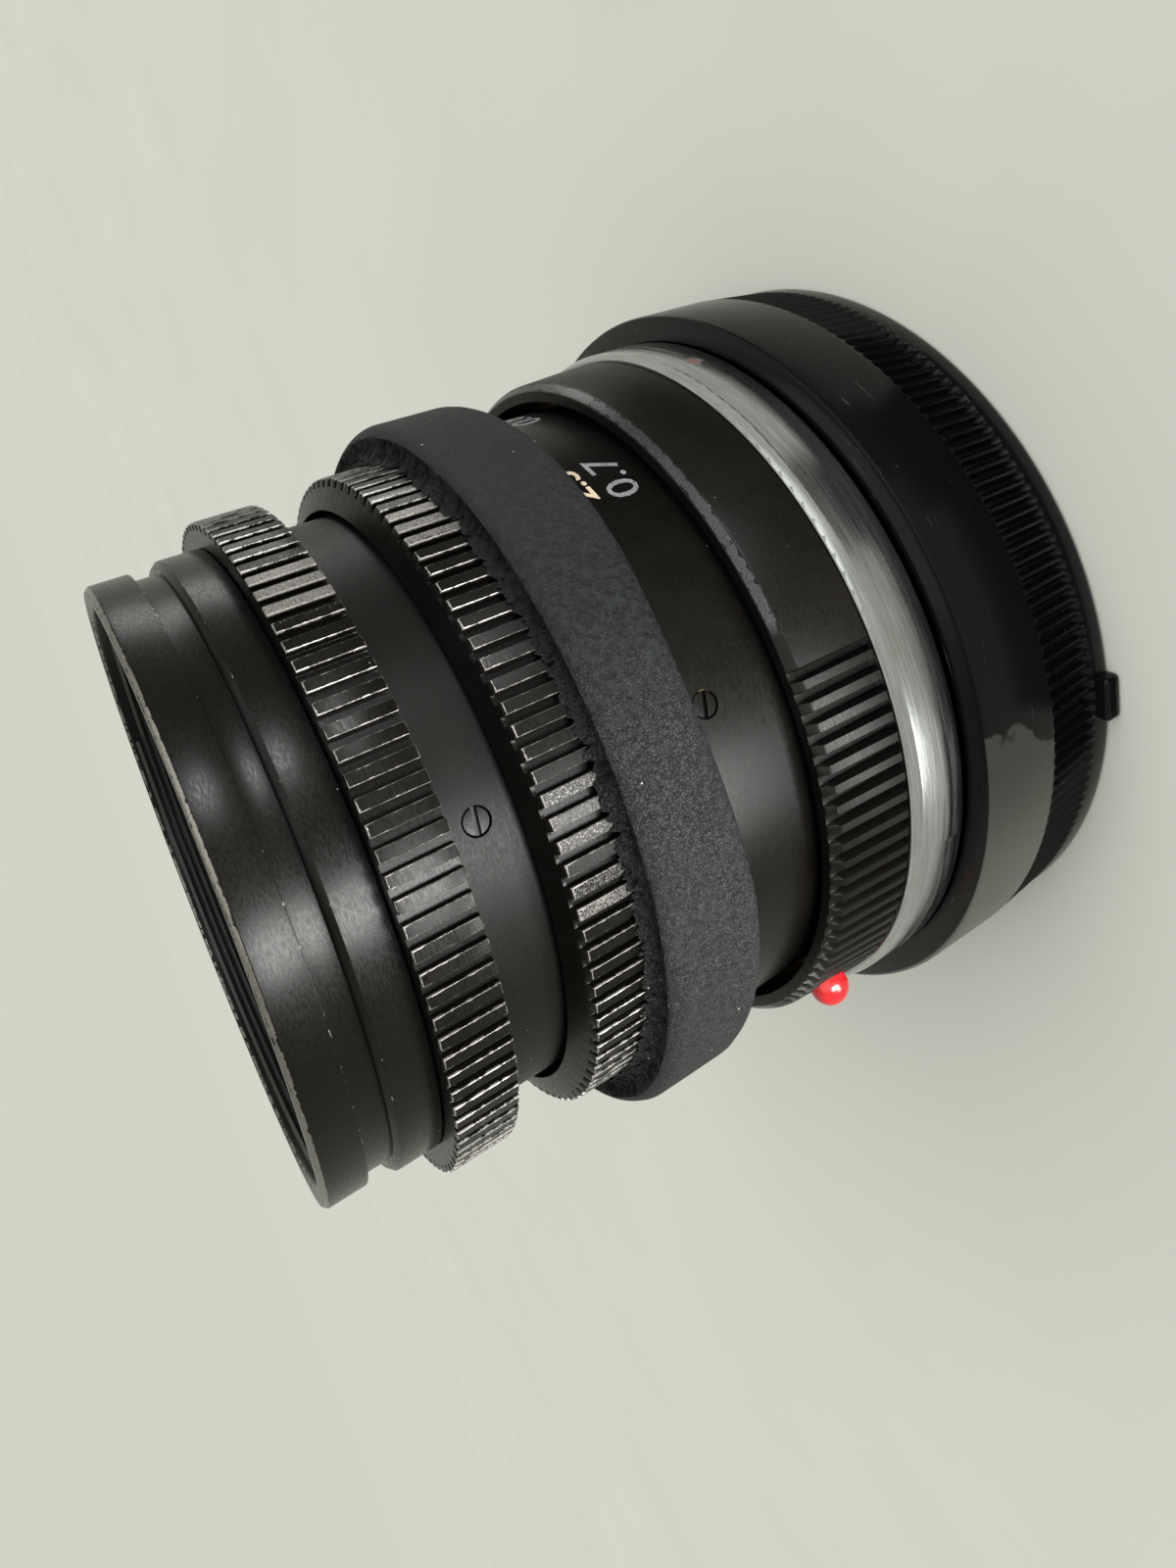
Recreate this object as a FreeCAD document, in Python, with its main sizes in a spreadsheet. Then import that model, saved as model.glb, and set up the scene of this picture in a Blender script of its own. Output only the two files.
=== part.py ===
import FreeCAD, Part

import math
import os

import Sketcher

# Rangefinder camera lens with its rear cap on, standing on the cap.
# The origin is the centre of the cap's back face, +Z runs along the optical axis to the
# front rim, and +Y points to the focus index. All lengths are millimetres.

VECTOR = FreeCAD.Vector
UP = VECTOR(0, 0, 1)

# Driving dimensions: name, value, meaning
DIMENSIONS = [
    ("lens_length", 42.2, "flange face to front rim at infinity"),
    ("running_clearance", 0.05, "radial play of turning and sliding fits"),
    ("seat_clearance", 0.05, "radial play of parts that are screwed or cemented together"),
    ("face_gap", 0.1, "axial play beside turning rings"),
    ("screw_play", 0.05, "radial play of a screw in its hole"),
    # rear cap
    ("cap_height", 12.6, "height of the rear cap"),
    ("cap_gap", 0.2, "cap's front face to the flange face"),
    ("cap_radius", 28.0, "smooth band of the cap"),
    ("cap_foot_radius", 27.6, "rim round the cap's back"),
    ("cap_foot_height", 1.65, "rim round the cap's back"),
    ("cap_foot_round", 0.5, "rounding of the cap's back edge"),
    ("cap_edge", 0.3, "chamfer of the cap's front edge"),
    ("cap_wall", 2.0, "outer wall of the cap"),
    ("cap_floor", 1.4, "back wall of the cap"),
    ("cap_grip_length", 4.85, "length of the cap's fine ribs"),
    ("cap_groove_count", 188, "grooves round the cap"),
    ("cap_groove_width", 0.45, "width of a groove in the cap"),
    ("cap_groove_depth", 0.45, "depth of a groove in the cap"),
    ("cap_socket_wall", 1.4, "wall of the socket that takes the bayonet"),
    ("cap_claw_length", 1.3, "thickness of the socket's claws"),
    ("cap_claw_gap", 0.15, "claws to the bayonet sleeve and lugs"),
    ("cap_claw_opening", 50.0, "angle of the ways in between the claws"),
    ("cap_tab_angle", 191.6, "azimuth of the index tab"),
    ("cap_tab_width", 3.2, "index tab"),
    ("cap_tab_height", 1.4, "index tab"),
    ("cap_tab_reach", 1.1, "index tab beyond the rim"),
    # bayonet flange
    ("flange_radius", 26.1, "chromed band"),
    ("flange_length", 4.5, "flange face to the collar"),
    ("flange_bevel", 0.75, "length of the bevel beside the collar"),
    ("flange_bevel_rise", 0.35, "height of the bevel beside the collar"),
    ("flange_edge", 0.25, "chamfer at the flange face"),
    ("flange_bore_radius", 19.6, "bore of the flange and sleeve"),
    ("bayonet_sleeve_radius", 20.9, "sleeve behind the flange face"),
    ("bayonet_sleeve_length", 3.2, "sleeve behind the flange face"),
    ("lug_radius", 21.95, "bayonet lugs"),
    ("lug_length", 1.3, "thickness of a lug"),
    ("lug_setback", 1.7, "flange face to the lugs"),
    ("lug_count", 4, "bayonet lugs"),
    ("lug_gap_angle", 48.0, "angle between two lugs"),
    ("flange_screw_count", 4, "screws through the flange"),
    ("flange_screw_circle", 23.2, "radius of the screws' circle"),
    ("flange_screw_angle", 45.0, "azimuth of the first screw"),
    ("screw_head_radius", 0.82, "slotted screw heads"),
    ("screw_head_length", 0.55, "slotted screw heads"),
    ("screw_shank_radius", 0.5, "screw shanks"),
    ("screw_slot_width", 0.3, "slot in a screw head"),
    ("screw_slot_depth", 0.25, "slot in a screw head"),
    # collar
    ("collar_length", 5.9, "length of the collar"),
    ("collar_rear_radius", 25.6, "collar beside the chrome"),
    ("collar_front_radius", 25.3, "collar behind its front chamfer"),
    ("collar_chamfer", 0.6, "length of the front chamfer"),
    ("collar_lip_radius", 24.75, "outer edge of the front face"),
    ("collar_bore_radius", 24.0, "bore of the collar"),
    ("collar_web", 0.8, "helicoid flange clamped under the collar"),
    ("collar_seat", 0.45, "width of the step that the helicoid flange clamps"),
    ("collar_groove_pitch", 3.0, "angle between grooves"),
    ("collar_groove_count", 23, "grooves in each ribbed sector"),
    ("collar_groove_width", 0.62, "width of a groove"),
    ("collar_groove_depth", 0.6, "depth of a groove"),
    ("bead_angle", 150.0, "azimuth of the alignment bead"),
    ("bead_radius", 1.35, "alignment bead"),
    ("bead_height", 3.1, "bead's centre above the collar's rear face"),
    ("bead_seat", 1.1, "depth of the bead's hole"),
    # helicoids and focus ring
    ("helicoid_wall", 0.65, "wall of the outer helicoid"),
    ("helicoid_gap", 0.5, "outer helicoid's end to the inner helicoid's flange"),
    ("helicoid_radius", 21.4, "thread of the focus helicoid"),
    ("helicoid_flange_radius", 22.35, "flange that carries the focus ring"),
    ("helicoid_flange_length", 6.15, "flange that carries the focus ring"),
    ("focus_travel", 4.4, "forward travel of the head from infinity to 0.7 m"),
    ("focus_front_setback", 4.85, "barrel sleeve's front to the ribs' front"),
    ("focus_nose_length", 0.85, "slope of the focus ring's front face"),
    ("focus_mouth_radius", 20.85, "mouth of the focus ring"),
    ("focus_rib_radius", 22.9, "tops of the focus ring's ribs"),
    ("focus_rib_length", 5.4, "length of the focus ring's ribs"),
    ("focus_groove_count", 108, "grooves round the focus ring"),
    ("focus_groove_width", 0.6, "width of a groove"),
    ("focus_groove_depth", 0.55, "depth of a groove"),
    ("scale_radius", 23.2, "distance scale"),
    ("scale_tail_gap", 0.3, "scale's rear end to the helicoid flange"),
    ("focus_screw_angle", 214.2, "azimuth of the screw that shows"),
    ("focus_screw_depth", 15.85, "barrel sleeve's front to the focus ring's screws"),
    # rubber band
    ("band_radius", 25.4, "outside of the rubber band"),
    ("band_setback", 2.9, "ribs' front to the band's front edge"),
    ("band_length", 7.75, "length of the rubber band"),
    ("band_front_round", 1.3, "rounding of the band's front edge"),
    ("band_rear_round", 1.5, "rounding of the band's rear edge"),
    ("band_fit", 0.03, "gap under the stretched band"),
    # front barrel
    ("rim_radius", 20.55, "front rim"),
    ("rim_length", 2.6, "front rim"),
    ("rim_chamfer", 0.25, "chamfer of the front rim"),
    ("filter_radius", 19.25, "crests of the filter thread"),
    ("filter_depth", 3.4, "depth of the filter thread"),
    ("clip_groove_radius", 20.0, "hood-clip groove"),
    ("clip_groove_length", 1.55, "hood-clip groove"),
    ("front_band_radius", 20.8, "band ahead of the aperture ring"),
    ("front_band_length", 2.85, "band ahead of the aperture ring"),
    ("front_band_chamfer", 0.35, "front edge of that band"),
    ("front_web", 1.1, "web that holds the trim ring"),
    ("front_web_radius", 18.5, "bore of that web"),
    # aperture ring
    ("aperture_ring_radius", 22.5, "tops of the aperture ring's ribs"),
    ("aperture_ring_length", 3.9, "length of the aperture ring"),
    ("aperture_edge", 0.15, "chamfers of the aperture ring"),
    ("aperture_groove_count", 105, "grooves round the aperture ring"),
    ("aperture_groove_width", 0.6, "width of a groove"),
    ("aperture_groove_depth", 0.5, "depth of a groove"),
    ("aperture_turn", 60.0, "turn of the aperture ring from open to closed"),
    ("drive_screw_angle", 60.0, "azimuth of the drive screw with the iris open"),
    ("drive_screw_radius", 0.7, "screw that drives the iris"),
    ("drive_screw_seat", 1.2, "depth of the drive screw's head below the ring's face"),
    ("click_angle", 30.0, "azimuth of the click ball"),
    ("click_ball_radius", 0.3, "click ball"),
    ("click_hole_depth", 2.0, "hole behind the click ball"),
    # barrel sleeve and head tube
    ("sleeve_radius", 20.35, "smooth barrel behind the aperture ring"),
    ("sleeve_length", 10.9, "smooth barrel behind the aperture ring"),
    ("sleeve_screw_angle", 212.0, "azimuth of the barrel screw that shows"),
    ("sleeve_screw_depth", 1.88, "barrel sleeve's front to its screws"),
    ("set_screw_count", 3, "screws round the barrel and round the focus ring"),
    ("tube_radius", 19.55, "head tube under the rings"),
    ("tube_bore_radius", 18.9, "chamber of the front group and iris"),
    ("tube_rear_radius", 19.3, "head tube inside the focus helicoid"),
    ("tube_shoulder_radius", 16.6, "bore that holds the rear cell"),
    ("tube_shoulder_length", 5.5, "bore that holds the rear cell"),
    ("tube_tail_bore", 17.9, "bore of the tube's tail"),
    ("tube_tail_gap", 1.3, "tube's rear end to the collar's rear face"),
    # iris
    ("iris_depth", 20.0, "front rim to the rear of the iris base ring"),
    ("iris_base_thickness", 0.7, "base ring"),
    ("iris_stop_radius", 10.5, "full aperture in the base ring"),
    ("iris_pivot_circle", 15.6, "radius of the pivots' circle"),
    ("iris_pin_radius", 0.35, "pivot and drive pins"),
    ("iris_pin_play", 0.05, "radial play of the pins"),
    ("iris_drive_arm", 3.5, "pivot to drive pin"),
    ("blade_count", 8, "iris blades"),
    ("blade_thickness", 0.12, "iris blade"),
    ("blade_gap", 0.06, "between two blades"),
    ("blade_inner_radius", 10.9, "inner edge of an open blade"),
    ("blade_outer_radius", 14.95, "outer edge of an open blade"),
    ("blade_sweep", 116.0, "angle that a blade spans"),
    ("blade_turn", 36.0, "turn of a blade from open to closed"),
    ("blade_lobe_radius", 0.72, "lobes round a blade's pins"),
    ("control_skirt_wall", 0.55, "skirt of the iris control ring"),
    ("control_ring_play", 0.12, "control ring to the head tube"),
    ("control_web", 0.7, "slotted web of the control ring"),
    ("control_web_bore", 14.8, "bore of the slotted web"),
    ("control_skirt_lead", 1.0, "skirt ahead of the drive screw"),
    # front group
    ("trim_ring_depth", 3.5, "front rim to the trim ring"),
    ("trim_ring_length", 1.05, "trim ring"),
    ("trim_ring_bore", 13.6, "bore of the trim ring"),
    ("trim_ring_slope", 0.8, "fall of the trim ring's face"),
    ("front_cell_radius", 17.9, "body of the front cell"),
    ("front_cell_flange", 2.0, "flange of the front cell"),
    ("glass_one_vertex", 4.2, "front rim to the front element"),
    ("glass_one_thickness", 3.2, "front element"),
    ("glass_one_front", 30.0, "radius of its front surface"),
    ("glass_one_rear", 100.0, "radius of its rear surface"),
    ("glass_one_rim", 13.2, "radius of its rim"),
    ("glass_two_vertex", 7.7, "front rim to the second element"),
    ("glass_two_thickness", 3.2, "second element"),
    ("glass_two_front", 19.0, "radius of its front surface"),
    ("glass_joint_radius", 60.0, "cemented surface of the second and third elements"),
    ("glass_two_rim", 11.0, "rim of the second and third elements"),
    ("glass_three_thickness", 1.3, "third element at its middle"),
    ("glass_three_rear", 12.5, "radius of its hollow rear surface"),
    ("glass_three_clear", 9.2, "clear radius of that surface"),
    ("cement_gap", 0.02, "cement between two elements"),
    ("retainer_width", 1.3, "radial width of a retaining ring"),
    ("retainer_length", 1.3, "length of a retaining ring"),
    ("retainer_overlap", 0.5, "ring's bearing on the glass"),
    ("cell_lip", 0.35, "lip behind the third element"),
    # rear group
    ("glass_four_vertex", 24.5, "front rim to the fourth element"),
    ("glass_four_front", 11.5, "radius of its hollow front surface"),
    ("glass_four_clear", 8.6, "clear radius of that surface"),
    ("glass_four_thickness", 1.2, "fourth element at its middle"),
    ("rear_joint_radius", 150.0, "cemented surface of the fourth and fifth elements"),
    ("rear_doublet_rim", 10.4, "rim of the fourth and fifth elements"),
    ("glass_five_thickness", 4.4, "fifth element"),
    ("glass_five_rear", 18.5, "radius of its rear surface"),
    ("rear_air_gap", 0.5, "fifth to sixth element"),
    ("glass_six_thickness", 3.4, "sixth element"),
    ("glass_six_front", 80.0, "radius of its front surface"),
    ("glass_six_rear", 34.0, "radius of its rear surface"),
    ("rear_cell_wall", 1.6, "wall of the rear cell"),
    ("rear_cell_flange", 3.6, "flange of the rear cell"),
    ("rear_ring_length", 1.6, "rear retaining ring"),
    # rangefinder cam and key
    ("cam_radius", 18.4, "rangefinder cam sleeve"),
    ("cam_wall", 1.1, "wall of the cam sleeve"),
    ("cam_reach", 7.5, "cam's end behind the flange face at infinity"),
    ("cam_flange_radius", 20.6, "flange that holds the focus helicoid"),
    ("cam_flange_length", 1.0, "flange that holds the focus helicoid"),
    ("key_width", 3.0, "guide key"),
    ("key_length", 3.6, "guide key"),
    ("key_reach", 1.9, "guide key inside the flange bore"),
    ("key_play", 0.05, "guide key in its slot"),
    ("key_angle", 270.0, "azimuth of the guide key"),
]


class Size:
    """A length or angle with the sheet expression that yields it."""

    def __init__(self, value, text=None):
        self.value = float(value)
        self.text = repr(float(value)) if text is None else text

    @staticmethod
    def of(other):
        """Returns other as a Size."""
        return other if isinstance(other, Size) else Size(other)

    def __add__(self, other):
        other = Size.of(other)
        return Size(self.value + other.value, f"({self.text} + {other.text})")

    def __sub__(self, other):
        other = Size.of(other)
        return Size(self.value - other.value, f"({self.text} - {other.text})")

    def __mul__(self, other):
        other = Size.of(other)
        return Size(self.value * other.value, f"({self.text} * {other.text})")

    def __truediv__(self, other):
        other = Size.of(other)
        return Size(self.value / other.value, f"({self.text} / {other.text})")

    def root(self):
        """Square root."""
        return Size(math.sqrt(self.value), f"sqrt({self.text})")

    def cosine(self):
        """Cosine of an angle in degrees."""
        return Size(math.cos(math.radians(self.value)), f"cos({self.text} * 1 deg)")

    def sine(self):
        """Sine of an angle in degrees."""
        return Size(math.sin(math.radians(self.value)), f"sin({self.text} * 1 deg)")


class Sheet:
    """The driving dimensions, kept in the document's spreadsheet."""

    def __init__(self, document):
        self.page = document.addObject("Spreadsheet::Sheet", "sizes")
        for row, (name, value, meaning) in enumerate(DIMENSIONS, start=1):
            self.page.set(f"A{row}", meaning)
            self.page.set(f"B{row}", str(value))
            self.page.setAlias(f"B{row}", name)
            setattr(self, name, Size(value, f"sizes.{name}"))


doc = FreeCAD.newDocument("rangefinder_lens")
d = Sheet(doc)
doc.recompute()

ZERO = Size(0)
FULL_TURN = Size(360)
OUTWARD = FreeCAD.Rotation(VECTOR(0, 1, 0), 90)
INWARD = FreeCAD.Rotation(VECTOR(0, 1, 0), -90)
FORWARD = FreeCAD.Rotation()
REARWARD = FreeCAD.Rotation(VECTOR(1, 0, 0), 180)

PIECES = []


def keep(piece, label):
    """Names a finished sub-part and puts it on the list of pieces to write."""
    piece.Label = label
    PIECES.append(piece)
    return piece


def bind(thing, prop, size):
    """Ties a property to the sheet."""
    thing.setExpression(prop, Size.of(size).text)


def origin_feature(body, role):
    """Returns an origin plane or axis of the body."""
    return next(item for item in body.Origin.OriginFeatures if item.Role == role)


def place_point(sketch, geometry, end, across, along):
    """Holds one point of a sketch at two driven distances from its origin."""
    for kind, axis, size in (("DistanceX", -2, across), ("DistanceY", -1, along)):
        if abs(size.value) < 1e-9:
            sketch.addConstraint(Sketcher.Constraint("PointOnObject", geometry, end, axis))
            continue
        index = sketch.addConstraint(
            Sketcher.Constraint(kind, -1, 1, geometry, end, size.value))
        sketch.setExpression(f"Constraints[{index}]", size.text)


def new_sketch(body, name, role):
    """Adds a sketch on one of the body's origin planes."""
    sketch = body.newObject("Sketcher::SketchObject", name)
    sketch.AttachmentSupport = (origin_feature(body, role), [""])
    sketch.MapMode = "FlatFace"
    return sketch


def polygon(sketch, points):
    """Draws a closed polygon whose corners are driven by the sheet."""
    corners = [VECTOR(across.value, along.value, 0) for across, along in points]
    for start, end in zip(corners, corners[1:] + corners[:1]):
        sketch.addGeometry(Part.LineSegment(start, end), False)
    for index, (across, along) in enumerate(points):
        following = (index + 1) % len(points)
        sketch.addConstraint(Sketcher.Constraint("Coincident", index, 2, following, 1))
        place_point(sketch, index, 1, across, along)


def revolve(body, name, sketch):
    """Turns a half section about the optical axis."""
    turned = body.newObject("PartDesign::Revolution", name)
    turned.Profile = sketch
    turned.ReferenceAxis = (sketch, ["V_Axis"])
    turned.Angle = 360
    doc.recompute()
    return turned


def turned_body(name, section):
    """Makes a body by turning a closed half section of (radius, height) corners."""
    body = doc.addObject("PartDesign::Body", name)
    sketch = new_sketch(body, f"{name}_section", "XZ_Plane")
    polygon(sketch, section)
    revolve(body, f"{name}_turned", sketch)
    return body


def tube_section(inner, outer, bottom, top):
    """Half section of a plain ring."""
    return [(inner, bottom), (outer, bottom), (outer, top), (inner, top)]


def cutting_sketch(body, name, bottom, azimuth):
    """Adds a sketch square to the optical axis at a height, turned to an azimuth."""
    sketch = new_sketch(body, f"{name}_outline", "XY_Plane")
    turn = FreeCAD.Rotation(UP, azimuth.value)
    sketch.AttachmentOffset = FreeCAD.Placement(VECTOR(0, 0, bottom.value), turn)
    bind(sketch, "AttachmentOffset.Base.z", bottom)
    if azimuth.value:
        bind(sketch, "AttachmentOffset.Rotation.Angle", azimuth)
    return sketch


def pocket_up(body, name, sketch, length):
    """Cuts a sketch's outline upwards through the body."""
    cut = body.newObject("PartDesign::Pocket", name)
    cut.Profile = sketch
    cut.Reversed = True
    bind(cut, "Length", length)
    doc.recompute()
    return cut


def repeat_round(body, name, feature, count, angle=None):
    """Repeats a cut round the optical axis."""
    pattern = body.newObject("PartDesign::PolarPattern", name)
    pattern.Originals = [feature]
    pattern.Axis = (origin_feature(body, "Z_Axis"), [""])
    if angle is None:
        pattern.Angle = 360
    else:
        bind(pattern, "Angle", angle)
    bind(pattern, "Occurrences", count)
    body.Tip = pattern
    doc.recompute()
    return pattern


def straight_grooves(body, name, floor, top, width, bottom, length, count,
                     azimuth=ZERO, angle=None):
    """Cuts straight grooves along the axis into a ring, leaving ribs."""
    half = width / 2
    beyond = top + half
    sketch = cutting_sketch(body, name, bottom, azimuth)
    polygon(sketch, [(floor, half * -1), (beyond, half * -1), (beyond, half), (floor, half)])
    cut = pocket_up(body, f"{name}_cut", sketch, length)
    return repeat_round(body, f"{name}_all", cut, count, angle)


def drill_round(body, name, circle, radius, bottom, length, count, azimuth=ZERO):
    """Drills round holes along the axis on a circle."""
    sketch = cutting_sketch(body, name, bottom, azimuth)
    sketch.addGeometry(Part.Circle(VECTOR(circle.value, 0, 0), UP, radius.value), False)
    place_point(sketch, 0, 3, circle, ZERO)
    index = sketch.addConstraint(Sketcher.Constraint("Radius", 0, radius.value))
    sketch.setExpression(f"Constraints[{index}]", radius.text)
    cut = pocket_up(body, f"{name}_cut", sketch, length)
    return repeat_round(body, f"{name}_all", cut, count)


def arc_groove(body, name, section, angle, azimuth=ZERO):
    """Cuts a half section through part of a turn, centred on an azimuth."""
    sketch = new_sketch(body, f"{name}_section", "XZ_Plane")
    if azimuth.value:
        turn = FreeCAD.Rotation(VECTOR(0, 1, 0), azimuth.value)
        sketch.AttachmentOffset = FreeCAD.Placement(VECTOR(0, 0, 0), turn)
        bind(sketch, "AttachmentOffset.Rotation.Angle", azimuth)
    polygon(sketch, section)
    cut = body.newObject("PartDesign::Groove", name)
    cut.Profile = sketch
    cut.ReferenceAxis = (sketch, ["V_Axis"])
    cut.Midplane = True
    bind(cut, "Angle", angle)
    doc.recompute()
    return cut


def primitive(kind, name, **sizes):
    """Adds a Part primitive with driven sizes."""
    thing = doc.addObject(f"Part::{kind}", name)
    for prop, size in sizes.items():
        bind(thing, prop, size)
    return thing


def move_to(thing, across=ZERO, along=ZERO, up=ZERO):
    """Places a primitive at a driven point."""
    for axis, size in (("x", across), ("y", along), ("z", up)):
        if size.value:
            bind(thing, f"Placement.Base.{axis}", size)
    return thing


def set_round(thing, azimuth, radius, height, tilt):
    """Places a thing at an azimuth, a distance from the axis and a height."""
    turn = FreeCAD.Rotation(UP, azimuth.value).multiply(tilt)
    thing.Placement = FreeCAD.Placement(VECTOR(0, 0, 0), turn)
    move_to(thing, radius * azimuth.cosine(), radius * azimuth.sine(), height)
    return thing


def cut_from(name, base, tool):
    """Subtracts one shape from another."""
    result = doc.addObject("Part::Cut", name)
    result.Base = base
    result.Tool = tool
    return result


def joined(name, things):
    """Fuses several shapes into one."""
    result = doc.addObject("Part::MultiFuse", name)
    result.Shapes = things
    result.Refine = True
    return result


def grouped(name, things):
    """Keeps several separate solids together in one node."""
    result = doc.addObject("Part::Compound", name)
    result.Links = things
    return result


def radial_holes(name, base, radius, inner, outer, azimuths, height):
    """Drills round holes along radii through a ring."""
    tools = []
    for index, azimuth in enumerate(azimuths, start=1):
        tool = primitive("Cylinder", f"{name}_{index}", Radius=radius, Height=outer - inner)
        tools.append(set_round(tool, azimuth, inner, height, OUTWARD))
    return cut_from(name, base, grouped(f"{name}_tools", tools))


def slotted_screw(name, head_radius, head_length, shank_radius, shank_length):
    """Slotted screw along Z, its head's face at the origin and its shank below."""
    head = primitive("Cylinder", f"{name}_head", Radius=head_radius, Height=head_length)
    move_to(head, up=head_length * -1)
    shank = primitive("Cylinder", f"{name}_shank", Radius=shank_radius, Height=shank_length)
    move_to(shank, up=(head_length + shank_length) * -1)
    slot = primitive("Box", f"{name}_slot", Length=d.screw_slot_width,
                     Width=head_radius * 3, Height=d.screw_slot_depth * 2)
    move_to(slot, d.screw_slot_width * -0.5, head_radius * -1.5, d.screw_slot_depth * -1)
    return cut_from(f"{name}_slotted", joined(f"{name}_solid", [head, shank]), slot)


def round_azimuths(count, first):
    """Evenly spaced azimuths from the first one."""
    return [first + FULL_TURN / count * index for index in range(round(count.value))]


def sag(curve, rim):
    """Depth of a spherical surface at a rim radius."""
    return curve - (curve * curve - rim * rim).root()


# Heights of the main stations, from the cap's back face up
flange_face = d.cap_height + d.cap_gap
collar_rear = flange_face + d.flange_length
collar_front = collar_rear + d.collar_length
front_rim = flange_face + d.lens_length
rim_rear = front_rim - d.rim_length
band_front = rim_rear - d.clip_groove_length
barrel_rear = band_front - d.front_band_length
aperture_front = barrel_rear - d.face_gap
aperture_rear = aperture_front - d.aperture_ring_length
sleeve_front = aperture_rear - d.face_gap
sleeve_rear = sleeve_front - d.sleeve_length
ribs_front = sleeve_front - d.focus_front_setback
ribs_rear = ribs_front - d.focus_rib_length
filter_floor = front_rim - d.filter_depth
tube_front = filter_floor - d.front_web - d.face_gap
tube_rear = collar_rear + d.tube_tail_gap
helicoid_front = sleeve_rear - d.face_gap
helicoid_flange_rear = helicoid_front - d.helicoid_flange_length
drive_screw_height = aperture_front - d.aperture_ring_length / 2

# The iris, from its seat in the head tube up
iris_seat = front_rim - d.iris_depth
iris_base_top = iris_seat + d.iris_base_thickness
blade_pitch = d.blade_thickness + d.blade_gap
blades_bottom = iris_base_top + d.blade_gap
web_bottom = blades_bottom + blade_pitch * d.blade_count
web_top = web_bottom + d.control_web

# Radii that several pieces share
sleeve_bore = d.tube_radius + d.running_clearance
helicoid_outer_bore = d.helicoid_radius + d.running_clearance
cam_bore = d.cam_radius - d.cam_wall
screw_hole = d.screw_shank_radius + d.screw_play
head_hole = d.screw_head_radius + d.screw_play


def rear_cap():
    """Moulded cap with fine ribs, a clawed socket for the bayonet, and an index tab."""
    wall_bore = d.cap_radius - d.cap_wall
    claw_bore = d.bayonet_sleeve_radius + d.cap_claw_gap
    socket_bore = d.lug_radius + d.cap_claw_gap
    socket_outer = socket_bore + d.cap_socket_wall
    claw_rear = d.cap_height - d.cap_claw_length
    grip_top = d.cap_foot_height + d.cap_grip_length
    body = turned_body("cap_body", [
        (ZERO, ZERO),
        (d.cap_foot_radius - d.cap_foot_round, ZERO),
        (d.cap_foot_radius, d.cap_foot_round),
        (d.cap_foot_radius, d.cap_foot_height),
        (d.cap_radius, grip_top),
        (d.cap_radius, d.cap_height - d.cap_edge),
        (d.cap_radius - d.cap_edge, d.cap_height),
        (wall_bore, d.cap_height),
        (wall_bore, d.cap_floor),
        (socket_outer, d.cap_floor),
        (socket_outer, d.cap_height),
        (claw_bore, d.cap_height),
        (claw_bore, claw_rear),
        (socket_bore, claw_rear),
        (socket_bore, d.cap_floor),
        (ZERO, d.cap_floor),
    ])
    straight_grooves(body, "cap_grip", d.cap_foot_radius - d.cap_groove_depth, d.cap_radius,
                     d.cap_groove_width, d.cap_foot_height, d.cap_grip_length,
                     d.cap_groove_count)
    # Ways in for the lugs: they line up with the lugs once the cap is turned
    way = arc_groove(body, "cap_way_in", tube_section(
        claw_bore - d.cap_claw_gap, socket_bore, claw_rear, d.cap_height),
        d.cap_claw_opening)
    repeat_round(body, "cap_ways_in", way, d.lug_count)
    tab = primitive("Box", "cap_tab", Length=d.cap_tab_reach + d.cap_wall / 2,
                    Width=d.cap_tab_width, Height=d.cap_tab_height)
    tab_root = d.cap_foot_radius - d.cap_wall / 2
    move_to(tab, tab_root, d.cap_tab_width * -0.5)
    doc.recompute()
    rounded = doc.addObject("Part::Fillet", "cap_tab_rounded")
    rounded.Base = tab
    corner = min(d.cap_tab_height.value, d.cap_tab_reach.value) * 0.4
    rounded.Edges = [
        (index, corner, corner) for index, edge in enumerate(tab.Shape.Edges, start=1)
        if edge.CenterOfMass.x > d.cap_foot_radius.value + d.cap_tab_reach.value * 0.9]
    rounded.Placement = FreeCAD.Placement(
        VECTOR(0, 0, 0), FreeCAD.Rotation(UP, d.cap_tab_angle.value))
    keep(joined("cap_joined", [body, rounded]), "rear_cap")


def bayonet_flange():
    """Chromed ring whose sleeve carries the bayonet lugs."""
    sleeve_end = flange_face - d.bayonet_sleeve_length
    lug_front = flange_face - d.lug_setback
    lug_rear = lug_front - d.lug_length
    body = turned_body("flange_body", [
        (d.flange_bore_radius, sleeve_end),
        (d.bayonet_sleeve_radius, sleeve_end),
        (d.bayonet_sleeve_radius, lug_rear),
        (d.lug_radius, lug_rear),
        (d.lug_radius, lug_front),
        (d.bayonet_sleeve_radius, lug_front),
        (d.bayonet_sleeve_radius, flange_face),
        (d.flange_radius - d.flange_edge, flange_face),
        (d.flange_radius, flange_face + d.flange_edge),
        (d.flange_radius, collar_rear - d.flange_bevel),
        (d.flange_radius - d.flange_bevel_rise, collar_rear),
        (d.flange_bore_radius, collar_rear),
    ])
    gap = arc_groove(body, "lug_gap", tube_section(
        d.bayonet_sleeve_radius, d.lug_radius + d.lug_length, lug_rear, lug_front),
        d.lug_gap_angle)
    repeat_round(body, "lug_gaps", gap, d.lug_count)
    head_depth = d.screw_head_length + d.face_gap
    drill_round(body, "flange_head_holes", d.flange_screw_circle, head_hole, flange_face,
                head_depth, d.flange_screw_count, d.flange_screw_angle)
    drill_round(body, "flange_shank_holes", d.flange_screw_circle, screw_hole, flange_face,
                d.flange_length, d.flange_screw_count, d.flange_screw_angle)
    keep(body, "bayonet_flange")


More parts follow.
